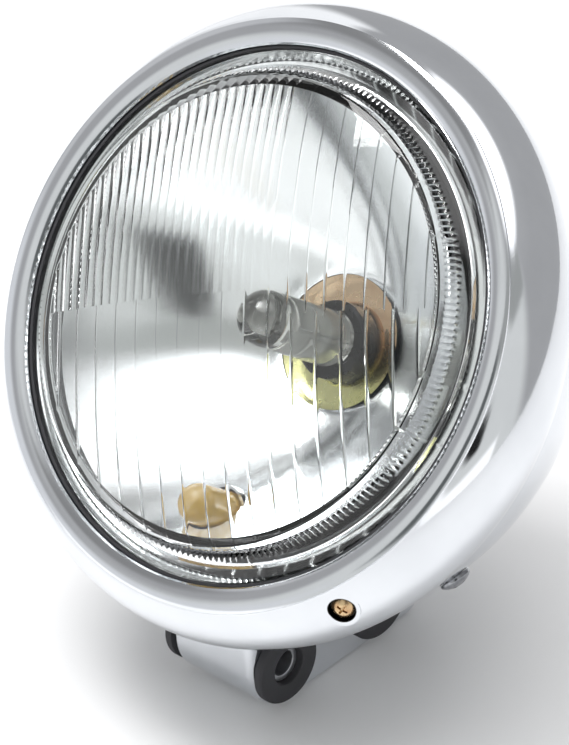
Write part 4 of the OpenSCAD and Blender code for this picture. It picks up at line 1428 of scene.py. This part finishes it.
@dataclass
class Foot(SubAssembly):
    """Pressed bracket under the bucket, drawn in the row's frame, with its bushes and sleeves."""

    place: ClassVar[Matrix] = Matrix()

    bucket: Bucket
    width: float = 34.0 * MM
    wall: float = 2.5 * MM
    spacing: float = 40.5 * MM
    bush_h: float = 16.0 * MM
    front: float = 12.6 * MM
    rear: float = 22.0 * MM
    front_round: float = 17.0 * MM
    rear_round: float = 8.0 * MM
    side_bend: float = 3.4 * MM
    window: tuple[float, float] = (20.0 * MM, 12.0 * MM)
    blank_h: float = 64.25 * MM
    flange_r: float = 12.5 * MM
    flange_t: float = 3.0 * MM
    flange_edge: float = 0.2 * MM
    flange_round: float = 1.0 * MM
    body_r: float = 9.0 * MM
    sleeve_r: float = 6.0 * MM
    bolt_hole_r: float = 4.1 * MM
    sleeve_inset: float = 2.5 * MM
    lip: float = 0.4 * MM
    lip_l: float = 2.0 * MM
    edge: float = 0.3 * MM

    def outline(self, inset: float) -> list[Point]:
        """Side outline of the bracket, as places along y and z."""
        low, high = -self.spacing / 2 - self.front + inset, self.spacing / 2 + self.rear - inset
        front, rear = self.front_round - inset, self.rear_round - inset
        points = arc((low + front, inset + front), front, 180, 270, 24)
        points += arc((high - rear, inset + rear), rear, 270, 360, 14)
        return points + [(high, self.blank_h), (low, self.blank_h)]

    def slab(self, name: str, inset: float) -> Piece:
        """The side outline made as wide as the bracket, its long edges bent round."""
        half, bend = self.width / 2 - inset, self.side_bend - inset
        sections = [(half - bend * (1 - math.sin(a)), bend * (1 - math.cos(a)))
                    for a in reversed(spaced(0.0, math.pi / 2, 10))]
        sections = [(-x, drop) for x, drop in sections] + sections[::-1]
        return lofted(name, [[(x, y, z) for y, z in self.outline(inset + drop)]
                             for x, drop in sections])

    def bracket(self) -> Piece:
        """The pressed bracket, cut to the bucket's saddle."""
        body = self.slab("foot_bracket", 0.0)
        hollow = carved(self.slab("bracket_hollow", self.wall), self.bucket.solid(self.wall))
        body = carved(carved(body, hollow), self.bucket.solid())
        for end in (-1, 1):
            hole = rod("bush_hole", self.body_r + SEAT_GAP, -self.width, self.width, MID_FACETS)
            body = carved(body, moved(hole, self.bolt_axis(1, end, 0.0)))
        rear = self.spacing / 2 + self.rear
        half_w, high = self.window[0] / 2, self.window[1]
        window = block("window", (-half_w, rear - 2 * self.wall, self.rear_round),
                       (half_w, rear + self.wall, self.rear_round + high))
        return carved(body, window)

    def bolt_axis(self, side: int, end: int, out: float) -> Matrix:
        """Place on a bolt axis, at a distance from the middle, with z pointing to that side."""
        place = Vector((side * out, end * self.spacing / 2, self.bush_h))
        return facing(place, Vector((side, 0.0, 0.0)))

    def build(self) -> None:
        """Makes the bracket, the bushes and the sleeves."""
        self.settle(self.bracket(), CHROME.material(), "chrome", "bracket")
        e, bore, lip = self.edge, self.sleeve_r + SEAT_GAP, self.body_r + self.lip
        inside, outside = -self.wall - SEAT_GAP, SEAT_GAP
        bush = turned("bush_form", rounded(
            [(bore, inside - self.lip_l, e), (lip, inside - self.lip_l, e), (lip, inside, 0.0),
             (self.body_r, inside, 0.0), (self.body_r, outside, 0.0),
             (self.flange_r, outside, self.flange_edge),
             (self.flange_r, self.flange_t, self.flange_round), (bore, self.flange_t, self.lip)]),
            MID_FACETS)
        places = [self.bolt_axis(side, end, self.width / 2) for end in (-1, 1) for side in (-1, 1)]
        finish = RUBBER.material()
        self.settle(copies("foot_bushes", bush, places, finish), finish, "black_rubber",
                    "bush_front_left", "bush_front_right", "bush_rear_left", "bush_rear_right")
        half, r = self.width / 2 + self.flange_t - self.sleeve_inset, self.sleeve_r
        sleeve = turned("sleeve_form", rounded(
            [(self.bolt_hole_r, -half, e), (r, -half, e), (r, half, e),
             (self.bolt_hole_r, half, e)]),
            MID_FACETS)
        places, finish = [self.bolt_axis(1, end, 0.0) for end in (-1, 1)], STEEL.material()
        self.settle(copies("foot_sleeves", sleeve, places, finish), finish, "grey_steel",
                    "sleeve_front", "sleeve_rear")


# Studio


@dataclass(frozen=True)
class Card:
    """A soft-edged patch of the surroundings that the chrome mirrors, in degrees and light."""

    azimuth: float
    elevation: float
    half_width: float
    half_height: float
    soft: float
    tone: Colour


CARDS = (
    Card(30.0, 20.0, 60.0, 26.0, 14.0, (0.8, 0.81, 0.8)),
    Card(45.0, 52.0, 50.0, 5.0, 5.0, (0.42, 0.43, 0.42)),
    Card(-45.0, 4.0, 25.0, 7.0, 12.0, (0.85, 0.86, 0.88)),
    Card(-60.0, 50.0, 22.0, 6.0, 10.0, (0.3, 0.3, 0.3)),
    Card(-80.0, 26.0, 8.0, 10.0, 10.0, (0.66, 0.66, 0.67)),
    Card(-4.0, 32.0, 4.0, 10.0, 6.0, (0.14, 0.15, 0.15)),
    Card(-122.0, 5.0, 5.0, 30.0, 7.0, (1.2, 1.2, 1.2)),
    Card(15.0, -2.0, 60.0, 5.0, 4.0, (1.4, 1.4, 1.4)),
    Card(48.0, 29.0, 8.0, 14.0, 4.0, (0.015, 0.015, 0.015)),
)


@dataclass
class Studio:
    """Pale floor, soft light and the camera."""

    azimuth: float = 45.37
    elevation: float = 36.46
    roll: float = -4.26
    distance: float = 5.2
    view_width: float = 169.3 * MM
    target: tuple[float, float, float] = (12.8 * MM, -6.0 * MM, 114.3 * MM)
    sensor: float = 36.0
    walls: tuple[tuple[float, float], ...] = (
        (-90.0, 0.5), (-12.0, 0.5), (2.0, 0.46), (40.0, 0.46), (58.0, 0.5), (66.0, 2.8),
        (90.0, 3.0))
    floor_half: float = 1.6
    reach: float = 50.0
    key_at: tuple[float, float, float] = (-0.65, -0.2, 1.9)
    key_size: float = 0.8
    key_power: float = 20.0

    def camera(self) -> None:
        """Puts the camera at the photograph's angle."""
        a, e, roll = (math.radians(v) for v in (self.azimuth, self.elevation, self.roll))
        back = Vector((math.sin(a) * math.cos(e), -math.cos(a) * math.cos(e), math.sin(e)))
        right = Vector((math.cos(a), math.sin(a), 0.0))
        up = back.cross(right)
        right, up = (right * math.cos(roll) + up * math.sin(roll),
                     up * math.cos(roll) - right * math.sin(roll))
        lens = bpy.data.cameras.new("photo_camera")
        lens.sensor_fit = "HORIZONTAL"
        lens.sensor_width = self.sensor
        lens.lens = self.sensor * self.distance / self.view_width
        lens.clip_end = self.reach
        camera = placed("photo_camera", lens)
        turn = Matrix((right, up, back)).transposed().to_4x4()
        camera.matrix_world = Matrix.Translation(Vector(self.target) + back * self.distance) @ turn
        bpy.context.scene.camera = camera

    def floor(self) -> None:
        """Makes the pale floor."""
        half = self.floor_half
        mesh = bpy.data.meshes.new("studio_floor")
        corners = [(-half, -half, 0.0), (half, -half, 0.0), (half, half, 0.0), (-half, half, 0.0)]
        mesh.from_pydata(corners, [], [(0, 1, 2, 3)])
        floor = placed("studio_floor", mesh)
        made, tree, shader = new_material("pale_floor")
        where = tree.add("ShaderNodeTexCoord").outputs["Object"]
        tone = tree.spread(tree.noise(where, 3.0), 0.3, 0.7)
        plug(shader, Base_Color=tree.blend(tone, (0.87, 0.87, 0.87), (0.89, 0.89, 0.89)),
             Roughness=0.6)
        floor.data.materials.append(made)

    def light(self) -> None:
        """Adds the square soft light that looks at the lamp."""
        lamp = bpy.data.lights.new("key_softbox", "AREA")
        lamp.shape = "SQUARE"
        lamp.size = self.key_size
        lamp.energy = self.key_power
        holder = placed("key_softbox", lamp)
        holder.location = self.key_at
        aim = Vector(self.target) - Vector(self.key_at)
        holder.rotation_euler = aim.to_track_quat("-Z", "Y").to_euler()

    def sky(self) -> None:
        """Sets the soft light all round: grey walls, a bright ceiling and patches between."""
        world = bpy.data.worlds.new("soft_studio")
        bpy.context.scene.world = world
        world.use_nodes = True
        tree = ShadeTree(world.node_tree)
        where = tree.add("ShaderNodeTexCoord").outputs["Generated"]
        parts = tree.add("ShaderNodeSeparateXYZ", None, Vector=where).outputs
        elevation = tree.math("DEGREES", tree.math("ARCSINE", parts["Z"]))
        ahead = tree.math("MULTIPLY", parts["Y"], -1.0)
        azimuth = tree.math("DEGREES", tree.math("ARCTAN2", parts["X"], ahead))
        ramp = tree.add("ShaderNodeValToRGB", None, Fac=tree.spread(elevation, -90.0, 90.0))
        for i, (height, tone) in enumerate(self.walls):
            spot = (height + 90.0) / 180.0
            stop = ramp.color_ramp.elements[i] if i < 2 else ramp.color_ramp.elements.new(spot)
            stop.position = spot
            stop.color = (tone, tone, tone * 1.01, 1.0)
        light = ramp.outputs["Color"]
        for card in CARDS:
            patch = PATCH.use(tree, Azimuth=azimuth, Elevation=elevation, Softness=card.soft,
                              At_azimuth=card.azimuth, At_elevation=card.elevation,
                              Half_width=card.half_width, Half_height=card.half_height)
            light = tree.blend(patch["Mask"], light, card.tone)
        plug(world.node_tree.nodes["Background"], Color=light, Strength=1.0)

    def build(self) -> None:
        """Makes the studio."""
        self.camera()
        self.floor()
        self.sky()
        self.light()
        bpy.context.scene.view_settings.view_transform = "Standard"


def main() -> None:
    """Builds every sub-assembly in order and reports it."""
    logging.basicConfig(level=logging.INFO, format="%(name)s: %(message)s")
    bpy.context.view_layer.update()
    Studio().build()
    bucket, reflector = Bucket(), Reflector()
    for group in (Rim(), PressedGlass(), reflector, Bulbs(reflector), bucket, Foot(bucket)):
        group.build()


if __name__ == "__main__":
    main()
